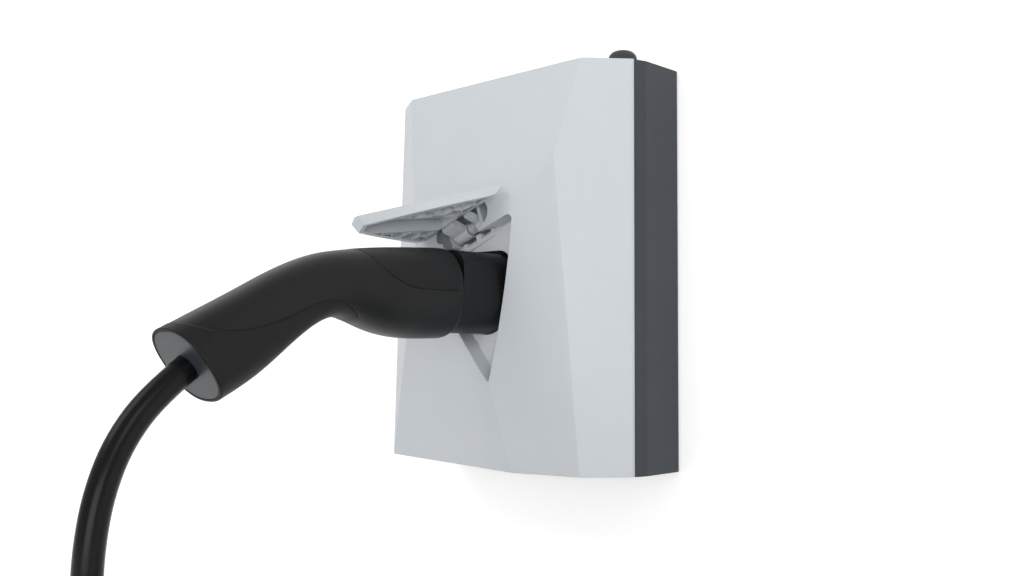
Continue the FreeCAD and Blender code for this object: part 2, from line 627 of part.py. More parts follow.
def plane_through(points):
    """Depth as a constant plus shares of x and z, through three points given as x, depth and z."""
    (x0, d0, z0), (x1, d1, z1), (x2, d2, z2) = points
    area = (x1 - x0) * (z2 - z0) - (x2 - x0) * (z1 - z0)
    by_x = ((d1 - d0) * (z2 - z0) - (d2 - d0) * (z1 - z0)) / area
    by_z = ((x1 - x0) * (d2 - d0) - (x2 - x0) * (d1 - d0)) / area
    return d0 - by_x * x0 - by_z * z0, by_x, by_z


opening_corners = [(x, min(facet_depth(f, x, z) for f in FACETS), z)
                   for x, z in (OPENING_RIGHT, OPENING_FOOT, OPENING_LEFT)]
FLAP_EDGE = plane_through(opening_corners)
tilt = FreeCAD.Rotation(V(0, -1, 0), V(-FLAP_EDGE[1], -1, -FLAP_EDGE[2]))
edge_middle = at(0, FLAP_EDGE[0], 0)


def on_edge_plane(shape):
    """Moves a shape drawn round depth zero onto the plane of the opening's edge."""
    placed = shape.copy()
    placed.Placement = FreeCAD.Placement(edge_middle, tilt).multiply(placed.Placement)
    return placed


def flap_wire(inset, depth):
    wire = opening_wire(FLAP_GAP + inset, FLAP_TIP_CUT)
    wire.translate(V(0, -depth, 0))
    return wire


upper_rim = prism(flap_wire(0, 0), 0, PEAK_DEPTH)
lower_rim = Part.makeLoft([flap_wire(FLAP_DRAFT, -FLAP_RIM_HEIGHT), flap_wire(0, 0)], True, True)
flap = on_edge_plane(upper_rim.fuse(lower_rim)).common(faceted_block(0, 0))

# Ribs under the flap: a six-cornered honeycomb round a plain channel
rim_wire = flap_wire(FLAP_DRAFT + FLAP_RIM_WIDTH, 0)
inside_rim = Part.Face(rim_wire)
tip = V(OPENING_FOOT[0], 0, OPENING_FOOT[1] + FLAP_TIP_CUT)
hinge_middle = HINGE_ORIGIN + HINGE_DIR * ((HINGE_START + HINGE_END) / 2)
channel_dir = V(hinge_middle.x - tip.x, 0, hinge_middle.z - tip.z).normalize()
channel_side = V(-channel_dir.z, 0, channel_dir.x)


def channel_point(share, aside):
    return tip + channel_dir * (share * CHANNEL_REACH) + channel_side * aside


def channel_face(half, trim):
    points = [
        channel_point(0, 0.3 * half) + channel_dir * trim, channel_point(CHANNEL_SHOULDER, half),
        channel_point(1 - CHANNEL_SHOULDER, half), channel_point(1, 0.3 * half) - channel_dir * trim,
        channel_point(1, -0.3 * half) - channel_dir * trim, channel_point(1 - CHANNEL_SHOULDER, -half),
        channel_point(CHANNEL_SHOULDER, -half), channel_point(0, -0.3 * half) + channel_dir * trim,
    ]
    return Part.Face(Part.makePolygon(points + points[:1]))


channel = channel_face(CHANNEL_WIDTH / 2, 0).common(inside_rim)
honeycomb = inside_rim.cut(channel_face(CHANNEL_WIDTH / 2 + RIB_WIDTH, -RIB_WIDTH))
cell_radius = (RIB_CELL - RIB_WIDTH) / math.sqrt(3)
pockets = [channel]
for row in range(-CELL_ROWS, CELL_ROWS + 1):
    for column in range(-CELL_ROWS, CELL_ROWS + 1):
        along = row * RIB_CELL * math.sqrt(0.75)
        across = (column + 0.5 * (row % 2)) * RIB_CELL
        middle = tip + channel_dir * (0.5 * CHANNEL_REACH + along) + channel_side * across
        corners = [middle + channel_dir * (cell_radius * math.cos(math.radians(60 * i)))
                   + channel_side * (cell_radius * math.sin(math.radians(60 * i))) for i in range(6)]
        cell = Part.Face(Part.makePolygon(corners + corners[:1])).common(honeycomb)
        pockets += [face for face in cell.Faces if face.Area > SMALLEST_CELL]
relief = faceted_block(-FIT_GAP, COVER_BACK)
relief.rotate(HINGE_ORIGIN, HINGE_DIR, FLAP_OPEN_ANGLE + FLAP_RELIEF_ANGLE)
flap = flap.cut(relief)
under_skin = faceted_block(FLAP_SKIN, 0)
for face in pockets:
    face = face.copy()
    face.translate(V(0, FLAP_RIM_HEIGHT + 1, 0))
    pocket = on_edge_plane(face.extrude(V(0, -PEAK_DEPTH, 0)))
    flap = flap.cut(pocket.common(under_skin))

# Hinge barrels on the flap, each with an arm that reaches past the facets above the hinge
# and ends a little below the plane of the flap's edge
hinge_cover = min(facet_depth(f, hinge_middle.x, hinge_middle.z) for f in FACETS)
arm_reach = hinge_cover - HINGE_DEPTH + ARM_OVERLAP
arm_end = hinge_middle - HINGE_UP * arm_reach
arm_tip = FLAP_EDGE[0] + FLAP_EDGE[1] * arm_end.x + FLAP_EDGE[2] * arm_end.z - ARM_SINK - HINGE_DEPTH
for s0, s1 in KNUCKLES:
    barrel = hinge_rod(KNUCKLE_RADIUS, s0, s1)
    barrel = barrel.makeFillet(0.6, [e for e in barrel.Edges if e.BoundBox.XLength < 0.01])
    profile = [(0, KNUCKLE_RADIUS), (ARM_SLOPE - arm_tip, ARM_CORNER - arm_reach),
               (-arm_tip, ARM_BITE - arm_reach), (-arm_tip, -arm_reach), (-ARM_LOW, -arm_reach),
               (0, -KNUCKLE_RADIUS), (KNUCKLE_RADIUS * 0.5, 0)]
    points = [V(s0 + ARM_INSET, y, z) for y, z in profile]
    arm = Part.Face(Part.makePolygon(points + points[:1])).extrude(V(s1 - s0 - 2 * ARM_INSET, 0, 0))
    flap = flap.fuse(on_hinge(barrel.fuse(arm)))
flap = flap.cut(on_hinge(hinge_rod(HINGE_PIN_RADIUS + PIN_CLEARANCE, BAY_START, BAY_END)))
spring_room = hinge_rod(KNUCKLE_RADIUS + 0.5, KNUCKLES[0][1] + 0.01, KNUCKLES[1][0] - 0.01)
flap = flap.cut(on_hinge(spring_room))
flap.rotate(HINGE_ORIGIN, HINGE_DIR, -FLAP_OPEN_ANGLE)
save("flap", flap.removeSplitter())

hinge_pin = hinge_rod(HINGE_PIN_RADIUS, BAY_START, BAY_END)
save("flap_hinge_pin", on_hinge(hinge_pin))


# Closing spring round the hinge pin, between the two barrels
def helix_spring(radius, wire_radius, start, length, turns):
    """Helical wire along X, with flat-laid ends, as a tube along a helix."""
    pitch = (length - 2 * wire_radius) / turns
    path = Part.makeHelix(pitch, pitch * turns, radius)
    profile = Part.Wire(Part.makeCircle(wire_radius, V(radius, 0, 0), V(0, 1, 0)))
    spring = Part.Wire(path).makePipeShell([profile], True, True)
    spring.rotate(V(0, 0, 0), V(0, 1, 0), 90)
    spring.translate(V(start + wire_radius, 0, 0))
    return spring


spring_start = KNUCKLES[0][1]
spring_length = KNUCKLES[1][0] - spring_start
spring = helix_spring(SPRING_COIL_RADIUS, SPRING_WIRE / 2, spring_start, spring_length, SPRING_TURNS)
save("flap_spring", on_hinge(spring))

# Socket: a cup for the plug's shroud with a core that carries the contact sleeves
cup_grow = SOCKET_CLEARANCE + SOCKET_WALL
core_grow = -NOSE_WALL - SOCKET_CLEARANCE
core_front = NOSE_FLOOR_DEPTH - SOCKET_CLEARANCE
socket = nose_prism(cup_grow, SOCKET_BACK_DEPTH, BEZEL_BACK)
flange = nose_prism(cup_grow + SOCKET_FLANGE_RIM, BEZEL_BACK - SOCKET_FLANGE, BEZEL_BACK)
socket = socket.fuse(flange).cut(bay(BAY_RADIUS + BAY_WALL + FIT_GAP))
socket = socket.cut(nose_prism(SOCKET_CLEARANCE, SOCKET_BACK_DEPTH + SOCKET_BASE, BEZEL_BACK))
core = nose_prism(core_grow, SOCKET_BACK_DEPTH, core_front)
core = core.cut(block(-HALF_W, HALF_W, SOCKET_BACK_DEPTH + SOCKET_BASE, core_front,
                      SOCKET_Z + NOSE_TOP - NOSE_ROOF - SOCKET_CLEARANCE, HALF_H))
socket = socket.fuse(core)


def contact_points(contacts, depth):
    return [at(SOCKET_X + x, depth, SOCKET_Z + z) for x, z in contacts]


def sleeve_radius(pin):
    return pin / 2 + PIN_CLEARANCE + SLEEVE_WALL


for contacts, pin in ((POWER_CONTACTS, POWER_PIN), (SIGNAL_CONTACTS, SIGNAL_PIN)):
    for x, z in contacts:
        px, pz = SOCKET_X + x, SOCKET_Z + z
        socket = socket.cut(rod(px, pz, sleeve_radius(pin), SOCKET_BACK_DEPTH, SLEEVE_MOUTH_DEPTH))
        socket = socket.cut(rod(px, pz, pin / 2 + SOCKET_CLEARANCE, SLEEVE_MOUTH_DEPTH, core_front))
plug_seal = nose_prism(PLUG_SEAL, PLUG_SEAL_BACK, PLUG_SEAL_FRONT)
socket = socket.cut(plug_seal.cut(nose_prism(0, PLUG_SEAL_BACK, PLUG_SEAL_FRONT)))
for x, z in SOCKET_LUGS:
    lug = rod(x, z, SOCKET_LUG, BEZEL_BACK - SOCKET_FLANGE, BEZEL_BACK)
    hole = rod(x, z, (SOCKET_SCREW + SCREW_PLAY) / 2, BEZEL_BACK - SOCKET_FLANGE, BEZEL_BACK)
    socket = socket.fuse(lug).cut(hole)
lock_z = SOCKET_Z + NOSE_TOP
lock_hole_radius = (LOCK_PIN + SOCKET_CLEARANCE) / 2
socket = socket.cut(Part.makeCylinder(lock_hole_radius, 2 * cup_grow, at(SOCKET_X, LOCK_DEPTH, lock_z - 1)))
save("socket_body", socket.removeSplitter())
save("socket_seal", plug_seal.cut(nose_prism(0, PLUG_SEAL_BACK, PLUG_SEAL_FRONT)))
socket_screw = cap_screw(SOCKET_SCREW, SOCKET_FLANGE + SOCKET_SCREW_BITE,
                         2 * SOCKET_SCREW, SOCKET_SCREW * 0.7)
lug_points = [at(x, BEZEL_BACK - SOCKET_FLANGE, z) for x, z in SOCKET_LUGS]
save("socket_screws", placed_screws(socket_screw, lug_points, V(0, -1, 0)))


def sleeve(pin):
    """Round sleeve along the depth, closed at its tail, drawn at the origin."""
    shell = rod(0, 0, sleeve_radius(pin), SLEEVE_TAIL_DEPTH, SLEEVE_MOUTH_DEPTH)
    return shell.cut(rod(0, 0, pin / 2 + PIN_CLEARANCE, SLEEVE_TAIL_DEPTH + SLEEVE_SOLID, SLEEVE_MOUTH_DEPTH))


def at_contacts(shape, contacts):
    copies = []
    for point in contact_points(contacts, 0):
        copy = shape.copy()
        copy.translate(point)
        copies.append(copy)
    return Part.makeCompound(copies)


save("power_sleeves", at_contacts(sleeve(POWER_PIN), POWER_CONTACTS))
save("signal_sleeves", at_contacts(sleeve(SIGNAL_PIN), SIGNAL_CONTACTS))

# Plug nose: a shroud round the pins, closed by a floor, with a neck into the handle
nose = nose_prism(0, NOSE_TIP_DEPTH, HANDLE_FRONT)
inside = nose_prism(-NOSE_WALL, NOSE_TIP_DEPTH, NOSE_FLOOR_DEPTH)
inside = inside.cut(block(-HALF_W, HALF_W, NOSE_TIP_DEPTH, NOSE_FLOOR_DEPTH, lock_z - NOSE_ROOF, lock_z))
nose = nose.cut(inside)
nose = nose.fuse(nose_prism(-NECK_STEP, HANDLE_FRONT, HANDLE_FRONT + NECK_LENGTH))
lock_pocket = at(SOCKET_X, LOCK_DEPTH, lock_z - LOCK_POCKET)
nose = nose.cut(Part.makeCylinder(LOCK_PIN / 2 + 1, LOCK_POCKET, lock_pocket))
for contacts, pin in ((POWER_CONTACTS, POWER_PIN), (SIGNAL_CONTACTS, SIGNAL_PIN)):
    for x, z in contacts:
        nose = nose.cut(rod(SOCKET_X + x, SOCKET_Z + z, pin / 2,
                            NOSE_FLOOR_DEPTH, HANDLE_FRONT + NECK_LENGTH))
tip_edges = [e for e in nose.Edges if e.BoundBox.YMin > -NOSE_TIP_DEPTH - 0.01]
nose = nose.makeFillet(NOSE_WALL * 0.3, tip_edges)
save("plug_nose", nose)


def contact_pin(pin):
    """Round pin along the depth with a domed tip, drawn at the origin."""
    shape = rod(0, 0, pin / 2, PIN_TIP_DEPTH, HANDLE_FRONT + NECK_LENGTH)
    return shape.makeFillet(pin * 0.3, [e for e in shape.Edges if e.BoundBox.YMin > -PIN_TIP_DEPTH - 0.01])


save("plug_power_pins", at_contacts(contact_pin(POWER_PIN), POWER_CONTACTS))
save("plug_signal_pins", at_contacts(contact_pin(SIGNAL_PIN), SIGNAL_CONTACTS))


# Handle of the plug: a smooth shell lofted through its sections
def on_plug(along, up):
    """Point in the plug's middle plane, from the handle's front and the socket's centre."""
    return at(SOCKET_X, HANDLE_FRONT + along, SOCKET_Z + up)


def section_wire(section, inset):
    """Rounded section between its upper and lower point, moved inwards by the inset."""
    top, low, half = on_plug(*section[0]), on_plug(*section[1]), section[2]
    middle = (top + low) * 0.5
    rise = (top - low) * 0.5
    rise = rise * ((rise.Length - inset) / rise.Length)
    points = []
    for i in range(SECTION_POINTS):
        angle = 2 * math.pi * i / SECTION_POINTS
        c, s = math.cos(angle), math.sin(angle)
        side = math.copysign(abs(c) ** (2 / GRIP_ROUNDNESS), c) * (half - inset)
        points.append(middle + V(side, 0, 0) + rise * math.copysign(abs(s) ** (2 / GRIP_ROUNDNESS), s))
    curve = Part.BSplineCurve()
    curve.interpolate(points, PeriodicFlag=True)
    return Part.Wire(curve.toShape())


def grip_solid(inset, first, last):
    """Loft through the sections from the first to the last index."""
    return Part.makeLoft([section_wire(s, inset) for s in GRIP_SECTIONS[first:last + 1]], True, False)


def seam_prism(points, closing):
    """Solid across X from a smooth seam line in depth and z, closed by straight lines."""
    seam = Part.BSplineCurve()
    aside = V(BOX_WIDTH, 0, 0)
    seam.interpolate([on_plug(*point) - aside for point in points])
    corners = [on_plug(*point) - aside for point in [points[-1]] + closing + [points[0]]]
    wire = Part.Wire([seam.toShape()] + Part.makePolygon(corners).Edges)
    return Part.Face(wire).extrude(V(2 * BOX_WIDTH, 0, 0))


last = len(GRIP_SECTIONS) - 1
collar_part = Part.makeLoft([section_wire(s, 0) for s in GRIP_SECTIONS[:2]], True, True)
grip_outer = collar_part.fuse(grip_solid(0, 1, last))
grip_skin = grip_solid(INSERT_DEPTH, 1, last)
grip_hollow = grip_solid(GRIP_WALL, 1, last)
skin = grip_outer.cut(grip_skin)

end_up = (on_plug(*GRIP_SECTIONS[last][0]) - on_plug(*GRIP_SECTIONS[last][1])).normalize()
end_out = V(1, 0, 0).cross(end_up) * -1
if end_out.y > 0:
    end_out = end_out * -1
cap_room = Part.Face(section_wire(GRIP_SECTIONS[last], END_CAP_RIM))
cap_room.translate(end_out * -END_CAP_THICKNESS)
cap_blank = cap_room.extrude(end_out * END_CAP_THICKNESS)

top_region = seam_prism(TOP_SEAM, [(TOP_SEAM[-1][0], BOX_WIDTH), (TOP_SEAM[0][0], BOX_WIDTH)])
low_region = seam_prism(LOW_SEAM, [(LOW_SEAM[-1][0], -BOX_WIDTH), (LOW_SEAM[0][0], -BOX_WIDTH)])
top_insert = skin.common(top_region)
low_insert = skin.common(low_region)
neck_hole = nose_prism(-NECK_STEP, HANDLE_FRONT, HANDLE_FRONT + NECK_LENGTH)
neck_front = block(-BOX_WIDTH, BOX_WIDTH, HANDLE_FRONT, HANDLE_FRONT + GRIP_WALL * 2, -BOX_HEIGHT, BOX_HEIGHT)
grip = grip_outer.cut(grip_hollow.cut(neck_front)).cut(top_region.common(skin)).cut(low_region.common(skin))
grip = grip.cut(neck_hole).cut(cap_blank)
save("plug_grip", grip)
save("plug_top_panel", top_insert)
save("plug_low_panel", low_insert)

# The cable's way in the plug's plane: through the end cap, down, and back towards the wall
def heading(angle):
    """Step of unit length in depth and z; zero points away from the wall."""
    return math.cos(math.radians(angle)), math.sin(math.radians(angle))


def tube(points, radius):
    """Round tube along straight runs joined by tangent arcs."""
    edges = []
    radii = []
    start = points[0]
    for before, corner, after in zip(points, points[1:], points[2:]):
        arriving = (corner - before).normalize()
        leaving = (after - corner).normalize()
        back = CABLE_BEND_SHARE * min((corner - before).Length, (after - corner).Length)
        half_turn = arriving.getAngle(leaving) / 2
        bend = back / math.tan(half_turn)
        radii.append(round(bend, 1))
        entry = corner - arriving * back
        leave = corner + leaving * back
        inward = (leaving - arriving).normalize()
        middle = corner + inward * (bend / math.cos(half_turn) - bend)
        edges += [Part.LineSegment(start, entry).toShape(), Part.Arc(entry, middle, leave).toShape()]
        start = leave
    edges.append(Part.LineSegment(start, points[-1]).toShape())
    print("cord's bend radii", radii)
    path = Part.Wire(edges)
    ring = Part.Wire(Part.makeCircle(radius, points[0], (points[1] - points[0])))
    return path.makePipeShell([ring], True, False), path.Length


drop_points = [on_plug(*point) for point in CABLE_DROP]
last_drop = drop_points[-1]
coil_height = COIL_ROWS * CABLE_DIAMETER
coil_top = FLOOR_Z + coil_height
entry_z = coil_top - CABLE_DIAMETER / 2 - 1
sweep = [CABLE_DOWN_HEADING + (180 - CABLE_DOWN_HEADING) * k / SWEEP_STEPS for k in range(1, SWEEP_STEPS + 1)]
step = (last_drop.z - entry_z) / sum(heading(-a)[1] * -1 for a in sweep[:-1])
route = list(drop_points)
for angle in sweep:
    along, up = heading(-angle)
    route.append(route[-1] + at(0, along * step, up * step))
cable_radius = CABLE_DIAMETER / 2


# The put-away length lies as a round coil on the floor; its turns take up what is left of the length.
# It is wound in flat layers, each a spiral with neighbouring turns side by side.
tail_length = TAIL_STEP * (TAIL_STEPS + 1)
feed, route_length = tube(route, cable_radius)
coil_radius = (CABLE_LENGTH - route_length - tail_length) / (2 * math.pi * COIL_TURNS)
fan = COIL_TURNS / COIL_ROWS * cable_radius
half_band = fan + cable_radius
coil_centre = at(SOCKET_X + coil_radius + fan, -route[-1].y, FLOOR_Z)


def ring_solid(grow):
    """The coil's outer shape, made bigger on every side."""
    foot = coil_centre - V(0, 0, grow)
    height = coil_height + 2 * grow
    return Part.makeCylinder(coil_radius + half_band + grow, height, foot).cut(
        Part.makeCylinder(coil_radius - half_band - grow, height, foot))


coil = ring_solid(0)
print("coil's mean radius", round(coil_radius, 1), "length of the seen cable", round(route_length, 1))
save("cable_coil", coil)
tie_band = ring_solid(TIE_THICKNESS).cut(coil)
ties = []
for angle in TIE_ANGLES:
    slab = Part.makeBox(2 * coil_radius, TIE_WIDTH, 3 * coil_height, V(0, -TIE_WIDTH / 2, -coil_height))
    slab.rotate(V(0, 0, 0), V(0, 0, 1), angle)
    slab.translate(coil_centre)
    ties.append(tie_band.common(slab))
save("coil_ties", Part.makeCompound(ties))

save("charging_cable", feed.cut(coil))

# End cap with the cable's hole, flush in the handle's end
feed_bore = tube(route[:3], cable_radius)[0]
end_cap = cap_blank.cut(feed_bore)
save("plug_end_cap", end_cap)

# The far end: the same handle, lying flat beside the coil with the car's connector on it
tail_z = FLOOR_Z + GRIP_SECTIONS[1][2]
tail = [V(coil_centre.x, coil_centre.y + coil_radius + fan, tail_z)]
for k in range(TAIL_STEPS + 1):
    angle = math.radians(TAIL_TURN * k / TAIL_STEPS)
    tail.append(tail[-1] + V(math.cos(angle), math.sin(angle), 0) * TAIL_STEP)
tail_tube = tube(tail, cable_radius)[0].cut(coil)
save("connector_cable", tail_tube)
lay_flat = FreeCAD.Matrix(
    0, 1, 0, 0,
    0, 0, 1, 0,
    1, 0, 0, 0,
    0, 0, 0, 1)
turned_entry = lay_flat.multVec(drop_points[0])
lay_flat_move = tail[-1] - turned_entry


def lie_flat(shape):
    """The plug's shapes turned on their side and moved to the cable's far end."""
    placed = shape.copy()
    placed.Placement = FreeCAD.Placement(lay_flat).multiply(placed.Placement)
    placed.translate(lay_flat_move)
    return placed


save("connector_grip", lie_flat(grip))
save("connector_top_panel", lie_flat(top_insert))
save("connector_low_panel", lie_flat(low_insert))
save("connector_end_cap", lie_flat(end_cap))
connector = nose_prism(0, CONNECTOR_TIP_DEPTH, HANDLE_FRONT)
connector = connector.fuse(nose_prism(-NECK_STEP, HANDLE_FRONT, HANDLE_FRONT + NECK_LENGTH))
sleeve_front = CONNECTOR_TIP_DEPTH + CONNECTOR_LIP
far_sleeves = []
for contacts, pin in ((POWER_CONTACTS, POWER_PIN), (SIGNAL_CONTACTS, SIGNAL_PIN)):
    for x, z in contacts:
        mouth = rod(SOCKET_X + x, SOCKET_Z + z, pin / 2 + SOCKET_CLEARANCE, CONNECTOR_TIP_DEPTH, sleeve_front)
        seat = rod(SOCKET_X + x, SOCKET_Z + z, sleeve_radius(pin), sleeve_front,
                   sleeve_front + SLEEVE_MOUTH_DEPTH - SLEEVE_TAIL_DEPTH)
        connector = connector.cut(mouth).cut(seat)
        one = sleeve(pin)
        one.rotate(V(0, 0, 0), V(0, 0, 1), 180)
        one.translate(at(SOCKET_X + x, SLEEVE_MOUTH_DEPTH + sleeve_front, SOCKET_Z + z))
        far_sleeves.append(lie_flat(one))
save("connector_nose", lie_flat(connector))
save("connector_sleeves", Part.makeCompound(far_sleeves))


# Inside the box: board, relays, sensor, terminals, power supply, and the plug's lock
board_front = board_back + BOARD_THICKNESS
board = block(-board_half, board_half, board_back, board_front, board_foot, board_top)
for x, z in board_points:
    board = board.cut(rod(x, z, (BOARD_SCREW + SCREW_PLAY) / 2, board_back, board_front))
save("main_board", board)
board_screw = cap_screw(BOARD_SCREW, BOARD_THICKNESS + STANDOFF_HEIGHT - 1,
                        2 * BOARD_SCREW, BOARD_SCREW * 0.7)
save("board_screws", placed_screws(board_screw, [at(x, board_front, z) for x, z in board_points], V(0, 1, 0)))


def on_board(size, x, z, rounding):
    """Box on the board, its upright corners rounded."""
    wide, high, deep = size
    shape = block(x - wide / 2, x + wide / 2, board_front, board_front + deep, z - high / 2, z + high / 2)
    return shape.makeFillet(rounding, [e for e in shape.Edges if e.BoundBox.YMin < -board_front - 0.01])


relay_x = RELAY_INSET - board_half
relay_z = [board_top - RELAY_TOP_INSET - k * RELAY_PITCH for k in range(RELAY_COUNT)]
save("power_relays", Part.makeCompound([on_board(RELAY_SIZE, relay_x, z, 1.2) for z in relay_z]))
sensor_z = board_foot + SENSOR_FOOT_INSET
sensor = on_board(SENSOR_SIZE, SENSOR_X, sensor_z, 2.0)
bore_depth = board_front + SENSOR_SIZE[2] / 2
bore_foot = at(SENSOR_X, bore_depth, sensor_z - SENSOR_SIZE[1])
sensor = sensor.cut(Part.makeCylinder(SENSOR_BORE / 2, 2 * SENSOR_SIZE[1], bore_foot))
save("current_sensor", sensor)
terminal_x = board_half - TERMINAL_INSET
terminal_z = board_top - TERMINAL_TOP_INSET
terminal = on_board(TERMINAL_SIZE, terminal_x, terminal_z, 0.8)
way = TERMINAL_SIZE[0] / TERMINAL_WAYS
terminal_top = terminal_z + TERMINAL_SIZE[1] / 2
terminal_front = board_front + TERMINAL_SIZE[2]
for k in range(TERMINAL_WAYS):
    x = terminal_x + (k - (TERMINAL_WAYS - 1) / 2) * way
    mouth = block(x - WIRE_MOUTH / 2, x + WIRE_MOUTH / 2, board_front + WIRE_MOUTH_RISE,
                  board_front + WIRE_MOUTH_RISE + WIRE_MOUTH, terminal_top - WIRE_MOUTH_LENGTH, terminal_top)
    screw_well = rod(x, terminal_z, CLAMP_SCREW / 2, terminal_front - CLAMP_SCREW_LENGTH, terminal_front)
    terminal = terminal.cut(mouth).cut(screw_well)
save("terminal_block", terminal)
supply = on_board(SUPPLY_SIZE, board_half - SUPPLY_INSET, board_foot + SUPPLY_FOOT_INSET, 1.5)
save("power_supply", supply)
tails = [Part.makeCylinder(TAIL_WIRE / 2, SLEEVE_TAIL_DEPTH - board_front, point, V(0, -1, 0))
         for point in contact_points(POWER_CONTACTS + SIGNAL_CONTACTS, board_front)]
save("contact_tails", Part.makeCompound(tails))

cup_top = lock_z + cup_grow
actuator = block(SOCKET_X - ACTUATOR_WIDTH / 2, SOCKET_X + ACTUATOR_WIDTH / 2, LOCK_DEPTH - ACTUATOR_BACK_REACH,
                 LOCK_DEPTH + ACTUATOR_FRONT_REACH, cup_top, cup_top + ACTUATOR_HEIGHT)
pin_foot = at(SOCKET_X, LOCK_DEPTH, lock_z - LOCK_ENGAGED)
pin_length = cup_top + ACTUATOR_HEIGHT - LOCK_ROOF - LOCK_STROKE - PIN_CLEARANCE - pin_foot.z
actuator = actuator.cut(Part.makeCylinder(LOCK_PIN / 2 + PIN_CLEARANCE, ACTUATOR_HEIGHT - LOCK_ROOF,
                                          at(SOCKET_X, LOCK_DEPTH, cup_top)))
save("lock_actuator", actuator)
lock_pin = Part.makeCylinder(LOCK_PIN / 2, pin_length, pin_foot)
pin_tip = [e for e in lock_pin.Edges if e.BoundBox.ZMax < pin_foot.z + 0.01]
save("lock_pin", lock_pin.makeChamfer(0.8, pin_tip))

# Dome gland on the top face, closed, with its nut inside
gland_foot = at(HALF_W - GLAND_INSET, GLAND_DEPTH, HALF_H)


def hexagon(across, height, foot):
    corners = [foot + V(across / math.sqrt(3) * math.cos(math.radians(60 * i)),
                        across / math.sqrt(3) * math.sin(math.radians(60 * i)), 0) for i in range(6)]
    return Part.Face(Part.makePolygon(corners + corners[:1])).extrude(V(0, 0, height))


gland_low = gland_foot - V(0, 0, CASE_WALL + GLAND_NUT_HEIGHT + 1)
stem_length = gland_foot.z - gland_low.z + GLAND_HEX_HEIGHT + GLAND_NECK
gland_stem = Part.makeCylinder(GLAND_THREAD / 2, stem_length, gland_low)
gland = gland_stem.fuse(hexagon(GLAND_HEX, GLAND_HEX_HEIGHT, gland_foot))
gland = gland.cut(Part.makeCylinder(GLAND_BORE / 2, gland_stem.BoundBox.ZLength - 2, gland_low))
save("gland_body", gland.removeSplitter())
dome_foot = gland_foot + V(0, 0, GLAND_HEX_HEIGHT)
dome = Part.makeCylinder(GLAND_HEX / 2 - 0.5, GLAND_HEIGHT - GLAND_HEX_HEIGHT, dome_foot)
dome = dome.makeFillet(GLAND_DOME_ROUND, [e for e in dome.Edges if e.BoundBox.ZMin > dome_foot.z + 1 and e.Length > 1
                                          and e.BoundBox.ZLength < 0.01])
save("gland_dome", dome.cut(Part.makeCylinder(GLAND_THREAD / 2, GLAND_NECK, dome_foot)))
nut_foot = gland_foot - V(0, 0, CASE_WALL + GLAND_NUT_HEIGHT)
nut = hexagon(GLAND_HEX + 2, GLAND_NUT_HEIGHT, nut_foot)
save("gland_nut", nut.cut(Part.makeCylinder(GLAND_THREAD / 2, GLAND_NUT_HEIGHT, nut_foot)))
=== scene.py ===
# %% [markdown]
# # A wall charging box with its cable plugged in
#
# The CAD model gives the fixed frame: every solid at its real size and place.
# This lesson dresses it, one step at a time: the camera, the finishes, the
# plate round the socket, the flap, the cable and the plug's handle, and last
# the wall and the light.

# %% Load the frame
import math

import bmesh
import bpy
import numpy as np
from mathutils import Matrix, Vector


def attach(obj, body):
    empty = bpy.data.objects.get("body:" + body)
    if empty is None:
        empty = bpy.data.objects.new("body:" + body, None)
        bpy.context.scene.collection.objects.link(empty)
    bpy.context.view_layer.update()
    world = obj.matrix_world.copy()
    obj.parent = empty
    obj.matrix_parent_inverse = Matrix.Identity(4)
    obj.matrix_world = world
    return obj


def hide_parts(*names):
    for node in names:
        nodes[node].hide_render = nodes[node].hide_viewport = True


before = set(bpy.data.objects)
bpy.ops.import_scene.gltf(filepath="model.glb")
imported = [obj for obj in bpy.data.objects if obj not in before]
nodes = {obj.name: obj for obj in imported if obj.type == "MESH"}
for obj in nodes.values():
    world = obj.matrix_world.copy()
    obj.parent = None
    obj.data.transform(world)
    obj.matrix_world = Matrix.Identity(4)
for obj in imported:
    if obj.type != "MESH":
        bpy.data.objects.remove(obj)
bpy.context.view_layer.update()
MM = 0.001

# %% [markdown]
# The camera stands where the photographer's did: to the right of the box,
# a little below its middle, and looking slightly up.

# %% Camera
IMAGE_WIDTH = 1024
FOCAL_PIXELS = 1031.8
CAMERA_AT = (0.5989, -0.6734, -0.0619)
YAW, PITCH, ROLL = 44.14, 3.31, 0.27
SENSOR = 36.0

yaw, pitch, roll = (math.radians(a) for a in (YAW, PITCH, ROLL))
forward = Vector((-math.sin(yaw) * math.cos(pitch), math.cos(yaw) * math.cos(pitch), math.sin(pitch)))
level = Vector((math.cos(yaw), math.sin(yaw), 0))
upright = level.cross(forward)
right = level * math.cos(roll) + upright * math.sin(roll)
above = upright * math.cos(roll) - level * math.sin(roll)
camera_data = bpy.data.cameras.new("camera")
camera_data.sensor_width = SENSOR
camera_data.lens = FOCAL_PIXELS / IMAGE_WIDTH * SENSOR
camera_data.clip_start = 0.01
camera = bpy.data.objects.new("camera", camera_data)
turn = Matrix((right, above, -forward)).transposed().to_4x4()
camera.matrix_world = Matrix.Translation(CAMERA_AT) @ turn
bpy.context.scene.collection.objects.link(camera)
bpy.context.scene.camera = camera
print("lens", round(camera_data.lens, 2))

# %% [markdown]
# Every finish is made from a few small tools: one adds a node, one gives a
# pattern that is fixed to the object, and the others use that pattern as
# relief, as patches of colour or as patches of gloss. A pattern in object
# coordinates needs no unwrapping and keeps one scale on every piece.

# %% Tools for finishes
def add(made, kind, inputs=(), **settings):
    """A node of a kind in a material. Inputs are plain values or other nodes' outputs."""
    node = made.node_tree.nodes.new("ShaderNode" + kind)
    for key, value in settings.items():
        setattr(node, key, value)
    for key, value in dict(inputs).items():
        if isinstance(value, bpy.types.NodeSocket):
            made.node_tree.links.new(value, node.inputs[key])
        else:
            node.inputs[key].default_value = value
    return node


